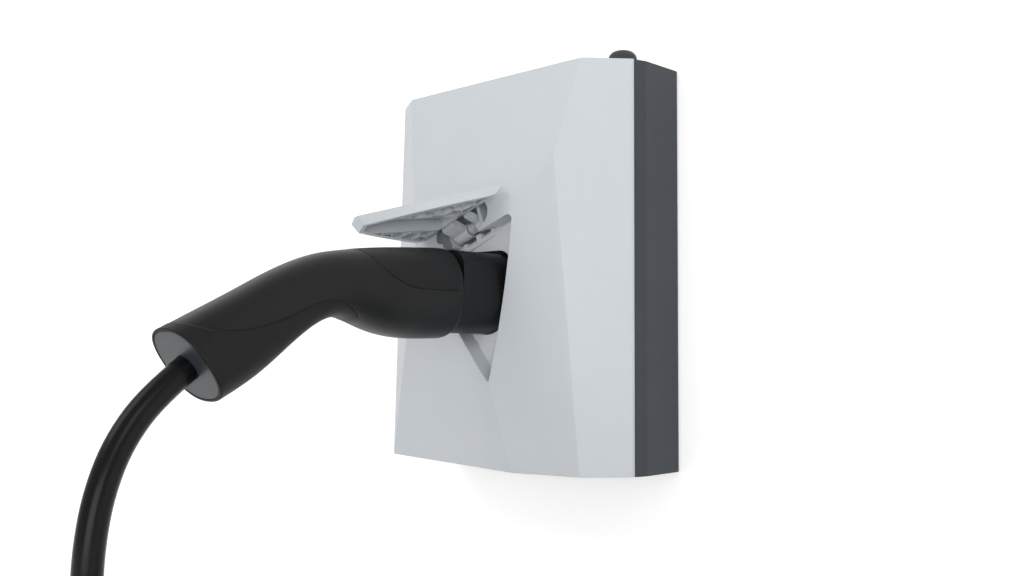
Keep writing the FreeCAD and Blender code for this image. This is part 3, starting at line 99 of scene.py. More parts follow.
def plain(name, colour, roughness, sockets=()):
    """A material with one shader, and the shader's constant sockets."""
    made = bpy.data.materials.new(name)
    made.use_nodes = True
    shader = made.node_tree.nodes["Principled BSDF"]
    shader.inputs["Base Color"].default_value = (*colour, 1)
    shader.inputs["Roughness"].default_value = roughness
    for socket, value in dict(sockets).items():
        shader.inputs[socket].default_value = value
    return made


def feed(made, socket, output):
    """Links an output to a socket of the material's shader."""
    made.node_tree.links.new(output, made.node_tree.nodes["Principled BSDF"].inputs[socket])


def spots(made, size, detail=2.0, stretch=(1, 1, 1)):
    """Soft random spots of a size in metres, as values round one half."""
    place = add(made, "TexCoord").outputs["Object"]
    scaled = add(made, "Mapping", {"Vector": place, "Scale": [s / size for s in stretch]})
    noise = add(made, "TexNoise", {"Vector": scaled.outputs["Vector"], "Scale": 1.0, "Detail": detail})
    return noise.outputs["Fac"]


def cells(made, size, stretch=(1, 1, 1), feature="F1"):
    """Small cells of a size in metres, as the distance from each cell's middle or edge."""
    place = add(made, "TexCoord").outputs["Object"]
    scaled = add(made, "Mapping", {"Vector": place, "Scale": [s / size for s in stretch]})
    pattern = add(made, "TexVoronoi", {"Vector": scaled.outputs["Vector"], "Scale": 1.0}, feature=feature)
    return pattern.outputs["Distance"]


def between(made, value, low, high):
    """A number from low to high, as the value goes from a quarter to three quarters."""
    inputs = {"Value": value, "From Min": 0.25, "From Max": 0.75, "To Min": low, "To Max": high}
    return add(made, "MapRange", inputs).outputs["Result"]


def patches(made, value, first, second):
    """Colour that goes from the first to the second with the value."""
    ramp = add(made, "ValToRGB", {"Fac": value})
    start, end = ramp.color_ramp.elements
    start.position, end.position = 0.3, 0.7
    start.color, end.color = (*first, 1), (*second, 1)
    return ramp.outputs["Color"]


def relief(made, height, depth, soft_edge=0.0, under=None):
    """Bumps of a depth in metres, over another relief or on edges that look rounded by soft_edge."""
    inputs = {"Height": height, "Distance": depth, "Strength": 1.0}
    if soft_edge:
        inputs["Normal"] = add(made, "Bevel", {"Radius": soft_edge}, samples=4).outputs["Normal"]
    if under:
        inputs["Normal"] = under
    bumps = add(made, "Bump", inputs).outputs["Normal"]
    feed(made, "Normal", bumps)
    return bumps


def shade(colour, factor):
    """A colour made darker or lighter by a factor."""
    return [c * factor for c in colour]


def moulded(name, colour, roughness, grain_size, grain_depth, soft_edge=0.0, unevenness=0.03, shine=0.5):
    """Moulded plastic or rubber: eroded grain, faint patches of tone, and patches of gloss."""
    made = plain(name, colour, roughness, {"Specular IOR Level": shine})
    cloud = spots(made, 0.045, 3.0)
    fine = spots(made, grain_size, 3.0)
    darker, lighter = shade(colour, 1 - unevenness), shade(colour, 1 + unevenness)
    feed(made, "Base Color", patches(made, cloud, darker, lighter))
    feed(made, "Roughness", between(made, fine, roughness * 0.88, roughness * 1.12))
    relief(made, fine, grain_depth, soft_edge)
    return made


def brushed(name, colour, roughness, stretch, size=0.0004, soft_edge=0.0002):
    """Metal with fine drawn lines along one axis and a faint bloom."""
    made = plain(name, colour, roughness, {"Metallic": 1.0})
    lines = spots(made, size, 3.0, stretch)
    bloom = spots(made, 0.006, 3.0)
    feed(made, "Base Color", patches(made, bloom, shade(colour, 0.86), shade(colour, 1.06)))
    feed(made, "Roughness", between(made, lines, roughness * 0.75, roughness * 1.3))
    relief(made, lines, 0.000012, soft_edge)
    return made


# %% [markdown]
# The cover is a pale cool grey, satin and very fine grained; the case behind
# it is anthracite with a coarser grain. Both are moulded plastic, so they
# differ only in colour, gloss and grain. The flap's ribs are fine, and soft
# light alone would hide them, so shade is painted into its recesses, and its
# tone is lifted a little above the cover's as painted light. The plate round
# the socket is paler still, with light painted into the shaded opening.

# %% Finishes of the box
COVER_TONE = (0.60, 0.635, 0.665)
# Painted light: the surround's tone is lifted well above the cover's to stand in for light in the shaded
# opening.
INNER_TONE_PAINTED_LIGHT = (0.76, 0.785, 0.81)
cover_finish = moulded("cover satin", COVER_TONE, 0.40, 0.0009, 0.000010, 0.0, 0.012)


def painted_recess_shade(made, reach):
    """Painted shade: recesses darkened by ambient occlusion, a shade darker than the edges round them."""
    shader = made.node_tree.nodes["Principled BSDF"]
    tone = shader.inputs["Base Color"].links[0].from_socket
    # Painted shade: occlusion darkens the colour in the recesses.
    openness = add(made, "AmbientOcclusion", {"Distance": reach}, samples=6).outputs["AO"]
    share = add(made, "MapRange", {"Value": openness, "To Min": 0.45, "To Max": 1.0}).outputs["Result"]
    recess_shade_painted = add(made, "MixRGB", {"Fac": 1.0, "Color1": tone, "Color2": share}, blend_type="MULTIPLY")
    feed(made, "Base Color", recess_shade_painted.outputs["Color"])
    return made


# Painted light: the flap's tone is the cover's, lifted by 1.08 to offset its darker shading.
flap_satin_painted_light = moulded("flap satin painted light and shade", shade(COVER_TONE, 1.08), 0.38, 0.0009, 0.000010, 0.0003, 0.012)
# The flap's finish has painted shade in its recesses and a tone lifted as painted light.
flap_finish_painted_light_and_shade = painted_recess_shade(flap_satin_painted_light, 0.006)
surround_finish_painted_light = moulded("surround satin painted light", INNER_TONE_PAINTED_LIGHT, 0.45, 0.0009, 0.000010, 0.0003, 0.012)
case_finish = moulded("case anthracite", (0.044, 0.052, 0.061), 0.52, 0.0007, 0.000035, 0.0005, 0.05, 0.3)
seal_finish = moulded("seal rubber", (0.018, 0.018, 0.020), 0.75, 0.0012, 0.00003, 0.0002, 0.10)
socket_finish = moulded("socket black", (0.0056, 0.0061, 0.0068), 0.42, 0.0006, 0.00002, 0.0004, 0.08, 0.2)
print("box finishes", cover_finish.name, case_finish.name)

# %% [markdown]
# Screws, the lock's pin and the bracket are plated steel: drawn lines for the
# turned pieces and a crystal pattern for the galvanised sheet. The contacts
# are silver plated.

# %% Finishes of metal pieces
steel_finish = brushed("plated steel", (0.56, 0.57, 0.59), 0.32, (1, 1, 0.05))
contact_finish = brushed("silver plated", (0.74, 0.72, 0.66), 0.24, (1, 0.05, 1))
sheet_finish = plain("galvanised sheet", (0.50, 0.52, 0.54), 0.42, {"Metallic": 1.0})
crystals = cells(sheet_finish, 0.011)
feed(sheet_finish, "Base Color", patches(sheet_finish, crystals, (0.40, 0.42, 0.44), (0.62, 0.64, 0.66)))
feed(sheet_finish, "Roughness", between(sheet_finish, crystals, 0.30, 0.52))
relief(sheet_finish, spots(sheet_finish, 0.0006, 3.0), 0.00001, 0.0003)
print("metal finishes", steel_finish.name, contact_finish.name, sheet_finish.name)

# %% [markdown]
# The plug is black and finely eroded, with leather-like grain on its soft
# panels. Its end cap is a smoother blue-grey, and the cable's sheath is
# glossier, with broad, very faint unevenness.

# %% Finishes of the plug and the cable
PLUG_TONE = (0.0058, 0.0063, 0.0070)
plug_finish = moulded("plug black", PLUG_TONE, 0.40, 0.0005, 0.000020, 0.0004, 0.12, 0.2)
PANEL_TONE = (0.0055, 0.0060, 0.0067)
panel_finish = moulded("panel soft black", PANEL_TONE, 0.48, 0.0008, 0.000035, 0.0003, 0.12, 0.2)
cap_finish = moulded("cap blue grey", (0.030, 0.038, 0.046), 0.36, 0.0008, 0.000012, 0.0004, 0.05, 0.4)
sheath_finish = moulded("cable sheath", (0.0030, 0.0034, 0.0039), 0.24, 0.0025, 0.000010, 0.0, 0.15, 0.18)
print("plug finishes", plug_finish.name, panel_finish.name, cap_finish.name, sheath_finish.name)

# %% [markdown]
# The ties are woven bands: two crossed waves make the threads. The board is
# solder mask over copper tracks, which show as faint raised lanes.

# %% Finishes of ties, board and modules
tie_finish = plain("woven tie", (0.02, 0.02, 0.022), 0.85, {"Sheen Weight": 0.3})
tie_place = add(tie_finish, "TexCoord").outputs["Object"]
wave = {"Vector": tie_place, "Scale": 260.0}
warp, weft = (add(tie_finish, "TexWave", wave, bands_direction=axis).outputs["Fac"] for axis in "XZ")
weave = add(tie_finish, "Math", {0: warp, 1: weft}, operation="MULTIPLY").outputs["Value"]
feed(tie_finish, "Base Color", patches(tie_finish, weave, (0.010, 0.010, 0.011), (0.035, 0.035, 0.038)))
relief(tie_finish, weave, 0.0002)
board_finish = plain("solder mask", (0.012, 0.09, 0.035), 0.28, {"Coat Weight": 0.3})
lanes = cells(board_finish, 0.006, (1, 1, 0.3), "DISTANCE_TO_EDGE")
feed(board_finish, "Base Color", patches(board_finish, lanes, (0.018, 0.13, 0.05), (0.010, 0.075, 0.03)))
relief(board_finish, lanes, 0.00003)
module_finish = moulded("module black", (0.022, 0.022, 0.025), 0.30, 0.0006, 0.000012, 0.0003, 0.08)
terminal_finish = moulded("terminal grey", (0.17, 0.18, 0.19), 0.45, 0.0006, 0.00002, 0.0003, 0.04)
print("inner finishes", tie_finish.name, board_finish.name, module_finish.name, terminal_finish.name)

# %% [markdown]
# Each CAD piece shows the finish of its kind. The shapes stay as they are;
# only the material slots change. The flap's pin and spring are as pale as the
# flap, because no bare metal shows at the hinge.

# %% Dress the CAD pieces
FINISH_OF = {
    cover_finish: ["front_cover"],
    flap_finish_painted_light_and_shade: ["flap", "flap_hinge_pin", "flap_spring"],
    surround_finish_painted_light: ["socket_bezel"],
    case_finish: ["rear_housing", "gland_body", "gland_dome", "gland_nut"],
    seal_finish: ["cover_gasket", "socket_seal"],
    socket_finish: ["socket_body", "plug_nose", "connector_nose"],
    steel_finish: ["cover_screws", "bracket_screws", "board_screws", "socket_screws", "lock_pin"],
    contact_finish: ["plug_power_pins", "plug_signal_pins", "power_sleeves", "signal_sleeves",
                     "connector_sleeves", "contact_tails"],
    sheet_finish: ["wall_bracket"],
    plug_finish: ["plug_grip", "connector_grip"],
    panel_finish: ["plug_top_panel", "plug_low_panel", "connector_top_panel", "connector_low_panel"],
    cap_finish: ["plug_end_cap", "connector_end_cap"],
    sheath_finish: ["charging_cable", "cable_coil", "connector_cable"],
    tie_finish: ["coil_ties"],
    board_finish: ["main_board"],
    module_finish: ["power_relays", "current_sensor", "power_supply", "lock_actuator"],
    terminal_finish: ["terminal_block"],
}


def wear(piece, finish):
    """Gives a piece one material."""
    piece.data.materials.clear()
    piece.data.materials.append(finish)


def put(obj, body="box"):
    """Links an object into the scene and lets it ride on a CAD body."""
    bpy.context.scene.collection.objects.link(obj)
    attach(obj, body)
    return obj


dressed = [name for names in FINISH_OF.values() for name in names]
for finish, names in FINISH_OF.items():
    for name in names:
        wear(nodes[name], finish)
print("dressed", len(dressed), "undressed", sorted(set(nodes) - set(dressed)))

# %% [markdown]
# The plate round the socket has a hole of the plug's shape: round below and
# flat on top, with a little room above the plug, where one looks into the
# dark. The plate is copied from the CAD piece, its loose triangles are
# joined, and a prism of that outline is cut out of it.

# %% Plate round the socket
SOCKET_AT = (12.0, -22.5)
HOLE_RADIUS, HOLE_CORNER, HOLE_TOP = 29.3, 15.0, 37.2
HOLE_DEPTHS = (92.0, 100.0)
CORNER_POINTS = 24


def flat_topped_round(radius, corner, top, count):
    """Outline of a circle below and two corner arcs above: r (cos a, sin a) round three middles."""
    low = np.radians(np.linspace(180, 360, 2 * count))
    right = np.radians(np.linspace(0, 90, count))
    left = np.radians(np.linspace(90, 180, count))
    side, height = radius - corner, top - corner
    arcs = [(0, 0, radius, low), (side, height, corner, right), (-side, height, corner, left)]
    return np.vstack([np.stack([x + r * np.cos(a), z + r * np.sin(a)], 1) for x, z, r, a in arcs])


def prism_mesh(name, outline, near, far):
    """Closed solid between two depths over an outline of x and z."""
    count = len(outline)
    x, z = (outline + SOCKET_AT).T
    points = np.vstack([np.stack([x, np.full(count, -d), z], 1) for d in (near, far)])
    j = np.arange(count)
    k = (j + 1) % count
    faces = np.stack([j, k, k + count, j + count], 1).tolist() + [j[::-1].tolist(), (j + count).tolist()]
    data = bpy.data.meshes.new(name)
    data.from_pydata((points * MM).tolist(), [], faces)
    return data


def joined_copy(name, node):
    """A copy of a CAD piece's mesh with its loose triangles joined at their shared corners."""
    data = nodes[node].data.copy()
    data.name = name
    form = bmesh.new()
    form.from_mesh(data)
    bmesh.ops.remove_doubles(form, verts=form.verts, dist=1e-6)
    bmesh.ops.recalc_face_normals(form, faces=form.faces)
    form.to_mesh(data)
    form.free()
    return data


def cut_out(data, cutter):
    """The mesh less the cutter's mesh, as a new plain mesh."""
    whole, tool = (bpy.data.objects.new("cut", d) for d in (data, cutter))
    for piece in (whole, tool):
        bpy.context.scene.collection.objects.link(piece)
    cut = whole.modifiers.new("cut", "BOOLEAN")
    cut.operation, cut.object, cut.solver = "DIFFERENCE", tool, "EXACT"
    graph = bpy.context.evaluated_depsgraph_get()
    result = bpy.data.meshes.new_from_object(whole.evaluated_get(graph))
    for piece in (whole, tool):
        bpy.data.objects.remove(piece)
    return result


hole = prism_mesh("hole", flat_topped_round(HOLE_RADIUS, HOLE_CORNER, HOLE_TOP, CORNER_POINTS), *HOLE_DEPTHS)
plate = cut_out(joined_copy("plate", "socket_bezel"), hole)
plate.name = "socket_plate"
surround = put(bpy.data.objects.new("socket_plate", plate))
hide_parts("socket_bezel")
wear(surround, surround_finish_painted_light)
print("plate faces", len(plate.polygons))

# %% [markdown]
# The flap's rim is deepest at its left corner and lowest at its right one.
# The CAD piece has an even rim, so a joined copy of it is stretched: each
# point below the flap's edge moves further down, by a share that grows from
# corner to corner and fades out near the hinge, so the barrels stay round.

# %% Flap
CLOSED_CORNERS = np.array([(52.0, -110.08, 42.8), (28.0, -111.19, -90.0), (-43.5, -116.0, 5.0)])
RIM_EXTRA = np.array([0.0, 1.6, 4.6])
RIM_HEIGHT = 6.0
OPEN_ANGLE = 85.0
HINGE_RISE, HINGE_DEPTH = 12.2, 98.0
BARREL_REACH, ARM_REACH = 13.0, 27.0


def turned_about(points, origin, axis, angle):
    """Points turned about a line: p cos a + (k x p) sin a + k (k . p)(1 - cos a), with k along the line."""
    a = math.radians(angle)
    p = points - origin
    lengthwise = np.outer(p @ axis, axis)
    return origin + p * math.cos(a) + np.cross(axis, p) * math.sin(a) + lengthwise * (1 - math.cos(a))


right_corner, foot_corner, left_corner = CLOSED_CORNERS
along = (right_corner - left_corner) * (1, 0, 1)
along = along / np.linalg.norm(along)
hinge_at = right_corner * (1, 0, 1) + np.array([-along[2] * HINGE_RISE, -HINGE_DEPTH, along[0] * HINGE_RISE])
outward = np.cross(foot_corner - right_corner, left_corner - right_corner)
outward = outward / np.linalg.norm(outward) * -np.sign(outward[1])


def deeper_rim(points):
    """Points of the closed flap, moved inwards by extra * depth below the edge / rim height."""
    below = -(points - right_corner) @ outward
    sides = np.stack([right_corner - left_corner, foot_corner - left_corner], 1)
    shares = np.linalg.lstsq(sides, (points - left_corner).T, rcond=None)[0].T
    extra = shares @ (RIM_EXTRA[:2] - RIM_EXTRA[2]) + RIM_EXTRA[2]
    radial = points - hinge_at
    radial = np.linalg.norm(radial - np.outer(radial @ along, along), axis=1)
    fade = np.clip((radial - BARREL_REACH) / (ARM_REACH - BARREL_REACH), 0, 1)
    grow = np.clip(extra, 0, None) * np.clip(below / RIM_HEIGHT, 0, 1) * fade * fade * (3 - 2 * fade)
    return points - outward * grow[:, None]


flap_mesh = joined_copy("flap_shell", "flap")
flap_points = np.empty(len(flap_mesh.vertices) * 3)
flap_mesh.vertices.foreach_get("co", flap_points)
closed = turned_about(flap_points.reshape(-1, 3) / MM, hinge_at, along, OPEN_ANGLE)
opened = turned_about(deeper_rim(closed), hinge_at, along, -OPEN_ANGLE)
flap_mesh.vertices.foreach_set("co", (opened * MM).ravel())
flap_mesh.update()
print("flap moved by at most", round(float(np.abs(opened - flap_points.reshape(-1, 3) / MM).max()), 2), "mm")
flap_piece = put(bpy.data.objects.new("flap_shell", flap_mesh), "flap")
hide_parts("flap")
wear(flap_piece, flap_finish_painted_light_and_shade)

# %% [markdown]
# The cable is one smooth curve. Its first points are the ones that the photo
# shows; then it sweeps back towards the wall, goes round in the tied coil and
# ends in the car's connector.

# %% Cable route
PLUG_X = 12.0
CABLE_DIAMETER = 18.0
CABLE_LENGTH = 5000.0
CABLE_DROP = [(350.9, -71.7), (376.0, -90.5), (397.0, -117.0), (408.5, -146.0), (413.6, -176.0),
              (414.6, -205.0)]
DOWN_HEADING = 88.0
SWEEP_STEPS = 6
FLOOR = -366.0
COIL_ROWS = 4
COIL_TURNS = 7.25
POINTS_PER_TURN = 24
TAIL_STEP = 30.0
TAIL_TURN = 36.4
TAIL_STEPS = 3


def swept_back(points, heading, steps, level):
    """Route points that turn from a steep heading to level, towards the wall, and end at a given height."""
    angles = np.radians(heading + (180 - heading) * np.arange(1, steps + 1) / steps)
    run = (points[-1][2] - level) / np.sin(angles[:-1]).sum()
    moves = np.stack([np.zeros(steps), -np.cos(angles) * run, -np.sin(angles) * run], 1)
    return np.vstack([points, points[-1] + np.cumsum(moves, 0)])


def coil_points(centre, radius, fan, turns, rows, pitch, top, per_turn):
    """Points of a coil wound clockwise in flat layers, starting at its left side.

    In each layer r = radius +- fan * (1 - 2 f), with f from 0 to 1 along the layer, and over the
    last sixth of a turn the height drops by one pitch, eased as 3 t^2 - 2 t^3."""
    phi = np.arange(1, round(turns * per_turn) + 1) * (360.0 / per_turn)
    layer_turn = turns * 360 / rows
    layer = np.minimum((phi / layer_turn).astype(int), rows - 1)
    f = phi / layer_turn - layer
    drop = np.clip((f - 1) * layer_turn / 60 + 1, 0, 1)
    drop = drop * drop * (3 - 2 * drop) * (layer < rows - 1)
    r = radius + fan * np.where(layer % 2 == 0, 1.0, -1.0) * (1 - 2 * f)
    r = r / (0.75 + 0.25 * math.cos(2 * math.pi / per_turn))
    angle = np.radians(180 - phi)
    height = top - pitch * (layer + drop)
    return np.stack([centre[0] + r * np.cos(angle), centre[1] + r * np.sin(angle), height], 1)


drop_points = np.array([(PLUG_X, -d, z) for d, z in CABLE_DROP])
top_level = FLOOR + (COIL_ROWS - 0.5) * CABLE_DIAMETER - 1
route = swept_back(drop_points, DOWN_HEADING, SWEEP_STEPS, top_level)
HANGING_LENGTH = 332.0
tail_length = TAIL_STEP * (TAIL_STEPS + 1)
COIL_RADIUS = (CABLE_LENGTH - HANGING_LENGTH - tail_length) / (2 * math.pi * COIL_TURNS)
fan = COIL_TURNS / COIL_ROWS * CABLE_DIAMETER / 2
coil_centre = np.array([PLUG_X + COIL_RADIUS + fan, route[-1][1]])
layer_step = (top_level - FLOOR - CABLE_DIAMETER / 2) / (COIL_ROWS - 1)
wound = coil_points(coil_centre, COIL_RADIUS, fan, COIL_TURNS, COIL_ROWS, layer_step, top_level,
                    POINTS_PER_TURN)
headings = np.radians(TAIL_TURN * np.arange(TAIL_STEPS + 1) / TAIL_STEPS)
tail_moves = np.stack([np.cos(headings), np.sin(headings), np.zeros(TAIL_STEPS + 1)], 1) * TAIL_STEP
tail = np.array([coil_centre[0], coil_centre[1] + COIL_RADIUS + fan, wound[-1][2]]) + np.cumsum(tail_moves, 0)
LIE_HEIGHT = FLOOR + 31.0
tail[:, 2] = np.linspace(wound[-1][2], LIE_HEIGHT, TAIL_STEPS + 2)[1:]
cable_points = np.vstack([route, wound, tail])


def nurbs_curve(name, points, radius):
    """A smooth curve of order three through its control points, with a round section."""
    data = bpy.data.curves.new(name, "CURVE")
    data.dimensions = "3D"
    data.resolution_u = 6
    data.bevel_depth = 1.0
    data.bevel_resolution = 7
    data.use_fill_caps = True
    spline = data.splines.new("NURBS")
    spline.points.add(len(points) - 1)
    spline.points.foreach_set("co", np.column_stack([points, np.ones(len(points))]).ravel())
    spline.points.foreach_set("radius", np.full(len(points), radius))
    spline.order_u = 3
    spline.use_endpoint_u = True
    return bpy.data.objects.new(name, data)


cable = put(nurbs_curve("charging_cable_curve", cable_points * MM, CABLE_DIAMETER / 2 * MM))
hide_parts("charging_cable", "cable_coil", "connector_cable")
wear(cable, sheath_finish)
print("cable points", len(cable_points), "coil radius", round(COIL_RADIUS, 2))

# %% [markdown]
# The plug's handle is one skin over rounded sections. Between the sections
# every size follows a cubic spline, so the skin has no flat spots or kinks.

# %% Handle of the plug
GRIP_SECTIONS = np.array([
    (149.0, 12.1, 149.0, -53.7, 29.6),
    (154.5, 13.3, 154.5, -55.1, 31.0),
    (187.0, 11.3, 187.0, -55.2, 31.0),
    (212.0, 9.4, 208.0, -52.2, 29.5),
    (238.0, 6.4, 227.0, -46.2, 26.5),
    (262.0, 2.0, 243.0, -41.4, 24.0),
    (288.0, -7.6, 260.0, -44.0, 23.5),
    (320.0, -24.1, 287.0, -61.2, 25.0),
    (349.9, -39.6, 314.5, -82.2, 26.5),
    (372.6, -51.4, 339.6, -96.6, 27.5),
])
GRIP_ROUNDNESS = 2.4
RIM = 1.8
SEAT_DEPTH = 3.0
FRONT_ROUND = 5.5
ROWS_ALONG = 300
POINTS_ROUND = 200


def cubic_spline(knots, values, at):
    """Natural cubic spline: s'' is linear between knots and zero at the ends; returns s(at)."""
    h = np.diff(knots)
    n = len(knots)
    a = np.eye(n)
    b = np.zeros((n, values.shape[1]))
    for i in range(1, n - 1):
        a[i, i - 1:i + 2] = h[i - 1], 2 * (h[i - 1] + h[i]), h[i]
        b[i] = 6 * ((values[i + 1] - values[i]) / h[i] - (values[i] - values[i - 1]) / h[i - 1])
    m = np.linalg.solve(a, b)
    k = np.clip(np.searchsorted(knots, at) - 1, 0, n - 2)
    t0, t1, hk = (at - knots[k])[:, None], (knots[k + 1] - at)[:, None], h[k][:, None]
    return ((m[k] * t1 ** 3 + m[k + 1] * t0 ** 3) / (6 * hk) + (values[k] / hk - m[k] * hk / 6) * t1
            + (values[k + 1] / hk - m[k + 1] * hk / 6) * t0)


def skin_rows(sections, inset, shift, around):
    """Rows of points round each section, moved inwards by inset and along the handle by shift.

    A row is c + w sgn(cos v)|cos v|^(2/n) x + h sgn(sin v)|sin v|^(2/n), with n the roundness."""
    top = np.stack([np.full(len(sections), PLUG_X), -sections[:, 0], sections[:, 1]], 1)
    low = np.stack([np.full(len(sections), PLUG_X), -sections[:, 2], sections[:, 3]], 1)
    middle, rise = (top + low) / 2, (top - low) / 2
    size = np.linalg.norm(rise, axis=1, keepdims=True)
    outward = np.cross(rise / size, [1.0, 0, 0])
    outward = outward * np.sign(-outward[:, 1:2])
    middle = middle + outward * shift[:, None]
    rise = rise * (size - inset[:, None]) / size
    v = np.linspace(0, 2 * np.pi, around, endpoint=False)
    c = np.sign(np.cos(v)) * np.abs(np.cos(v)) ** (2 / GRIP_ROUNDNESS)
    s = np.sign(np.sin(v)) * np.abs(np.sin(v)) ** (2 / GRIP_ROUNDNESS)
    half = (sections[:, 4] - inset)[:, None]
    points = middle[:, None, :] + rise[:, None, :] * s[None, :, None]
    points[:, :, 0] += half * c[None, :]
    return points


def mesh_from_grid(name, grid):
    """A mesh from a grid of points that closes round its second direction."""
    rows, around = grid.shape[:2]
    i, j = np.meshgrid(np.arange(rows - 1), np.arange(around), indexing="ij")
    following = (j + 1) % around
    here, beyond = i * around, (i + 1) * around
    faces = np.stack([here + j, here + following, beyond + following, beyond + j], -1)
    faces = [tuple(f) for f in faces.reshape(-1, 4).tolist()]
    data = bpy.data.meshes.new(name)
    data.from_pydata((grid.reshape(-1, 3) * MM).tolist(), [], faces)
    data.validate()
    a, b, c = (grid[0, 0], grid[0, 1], grid[1, 0])
    outward = np.cross(b - a, c - a)
    if outward @ (a - grid[0].mean(0)) < 0:
        data.flip_normals()
    data.shade_smooth()
    return bpy.data.objects.new(name, data)


def handle_grid():
    """The whole skin: front face, rounded front edge, splined length, end rim and the cap's seat."""
    middles = (GRIP_SECTIONS[1:, :2] + GRIP_SECTIONS[1:, 2:4]) / 2
    knots = np.concatenate([[0], np.cumsum(np.hypot(*np.diff(middles, axis=0).T))])
    at = np.linspace(0, knots[-1], ROWS_ALONG)
    length = cubic_spline(knots, GRIP_SECTIONS[1:], at)
    quarter = np.linspace(0, np.pi / 2, 10)
    front = np.repeat(GRIP_SECTIONS[1:2], len(quarter) + 3, axis=0)
    front_inset = np.concatenate([[16, 9, 5], 4.0 * (1 - np.sin(quarter))])
    front_shift = np.concatenate([[-FRONT_ROUND] * 3, -FRONT_ROUND * np.cos(quarter)])
    end = np.repeat(GRIP_SECTIONS[-1:], 9, axis=0)
    end_inset = np.array([0.25, 0.6, 1.0, RIM - 0.25, RIM, RIM, RIM, RIM + 0.3, RIM + 6])
    end_shift = np.array([-0.05, 0, 0, 0, -0.2, -1.5, -SEAT_DEPTH, -SEAT_DEPTH, -SEAT_DEPTH])
    sections = np.vstack([front[:-1], length, end])
    zero = np.zeros(len(length))
    inset = np.concatenate([front_inset[:-1], zero, end_inset])
    shift = np.concatenate([front_shift[:-1], zero, end_shift])
    shift[len(front) - 1 + len(length) - 1] = -0.7
    return skin_rows(sections, inset, shift, POINTS_ROUND)


# %% [markdown]
# Two soft panels are let into the handle, one along its top and one below.
# Their seams are smooth lines in the side view. Every point of the skin gets
# its distance from the nearest seam, positive inside a panel; the panels stand
# a hair proud, and the finish cuts a thin dark groove where the distance is zero.

# %% Seams of the handle's panels
TOP_FRONT = [(157.2, 22.0), (156.6, 8.0), (155.6, -6.0), (156.0, -20.2)]
TOP_BACK = [(156.0, -20.2), (170.0, -20.4), (185.0, -20.4), (199.0, -19.4), (218.0, -11.5), (236.0, 8.0),
            (246.0, 22.0)]
LOW_SEAM = [(236.0, -80.0), (232.5, -58.0), (231.0, -47.0), (239.0, -38.3), (262.0, -30.6), (291.0, -39.8),
            (331.0, -51.6), (350.0, -52.0), (366.0, -47.0), (388.0, -38.0)]
FAR_OFF = 200.0
PANEL_PROUD = 0.22
PANEL_EASE = 1.4
SEAM_SAMPLES = 160


def smooth_line(points, count):
    """Evenly numbered points on the natural cubic spline through the given ones."""
    points = np.array(points)
    knots = np.concatenate([[0], np.cumsum(np.hypot(*np.diff(points, axis=0).T))])
    return cubic_spline(knots, points, np.linspace(0, knots[-1], count))


def depth_in_panel(spots_at, seams, closing):
    """Distance from the seam, |p - a - t (b - a)| with t from 0 to 1, positive inside the outline."""
    line = np.vstack([smooth_line(seam, SEAM_SAMPLES) for seam in seams])
    a, b = line[:-1], line[1:]
    span = b - a
    reach = spots_at[:, None] - a[None]
    t = np.clip((reach * span).sum(2) / np.maximum((span ** 2).sum(1), 1e-9), 0, 1)
    distance = np.linalg.norm(reach - t[..., None] * span, axis=2).min(1)
    outline = np.vstack([line, closing])
    c, d = outline, np.roll(outline, -1, 0)
    crosses = (c[:, 1] > spots_at[:, None, 1]) != (d[:, 1] > spots_at[:, None, 1])
    rise = np.where(d[:, 1] == c[:, 1], 1.0, d[:, 1] - c[:, 1])
    left = spots_at[:, None, 0] < c[:, 0] + (spots_at[:, None, 1] - c[:, 1]) / rise * (d[:, 0] - c[:, 0])
    inside = (crosses & left).sum(1) % 2 == 1
    return np.where(inside, distance, -distance)


skin = handle_grid()
side_view = np.stack([-skin[..., 1].ravel(), skin[..., 2].ravel()], 1)
above_all = [(TOP_BACK[-1][0], FAR_OFF), (TOP_FRONT[0][0], FAR_OFF)]
below_all = [(LOW_SEAM[-1][0], -FAR_OFF), (LOW_SEAM[0][0], -FAR_OFF)]
top_depth = depth_in_panel(side_view, [TOP_FRONT, TOP_BACK], above_all)
low_depth = depth_in_panel(side_view, [LOW_SEAM], below_all)
panel_depth = np.maximum(top_depth, low_depth)
print("share of the skin in panels", round(float((panel_depth > 0).mean()), 3))


def handle_piece(name, grid, *replaced):
    """The handle from its grid, its panels proud by an eased step, and the distance kept on each point."""
    piece = put(mesh_from_grid(name, grid))
    mesh = piece.data
    places, normals = np.empty(len(mesh.vertices) * 3), np.empty(len(mesh.vertices) * 3)
    mesh.vertices.foreach_get("co", places)
    mesh.vertices.foreach_get("normal", normals)
    step = np.clip(panel_depth / PANEL_EASE + 0.5, 0, 1)
    step = step * step * (3 - 2 * step) * PANEL_PROUD * MM
    mesh.vertices.foreach_set("co", places + normals * np.repeat(step, 3))
    mesh.attributes.new("panel_depth", "FLOAT", "POINT").data.foreach_set("value", panel_depth)
    mesh.update()
    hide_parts(*replaced)
    return piece


handle = handle_piece("plug_handle", skin, "plug_grip", "plug_top_panel", "plug_low_panel")
print("handle faces", len(handle.data.polygons))

# %% [markdown]
# The handle's finish has three parts: eroded plastic, leather grain inside the
# panels, and the dark groove between them. The distance from the seam, kept on
# the skin's points, chooses between them, so the lines follow the surface.

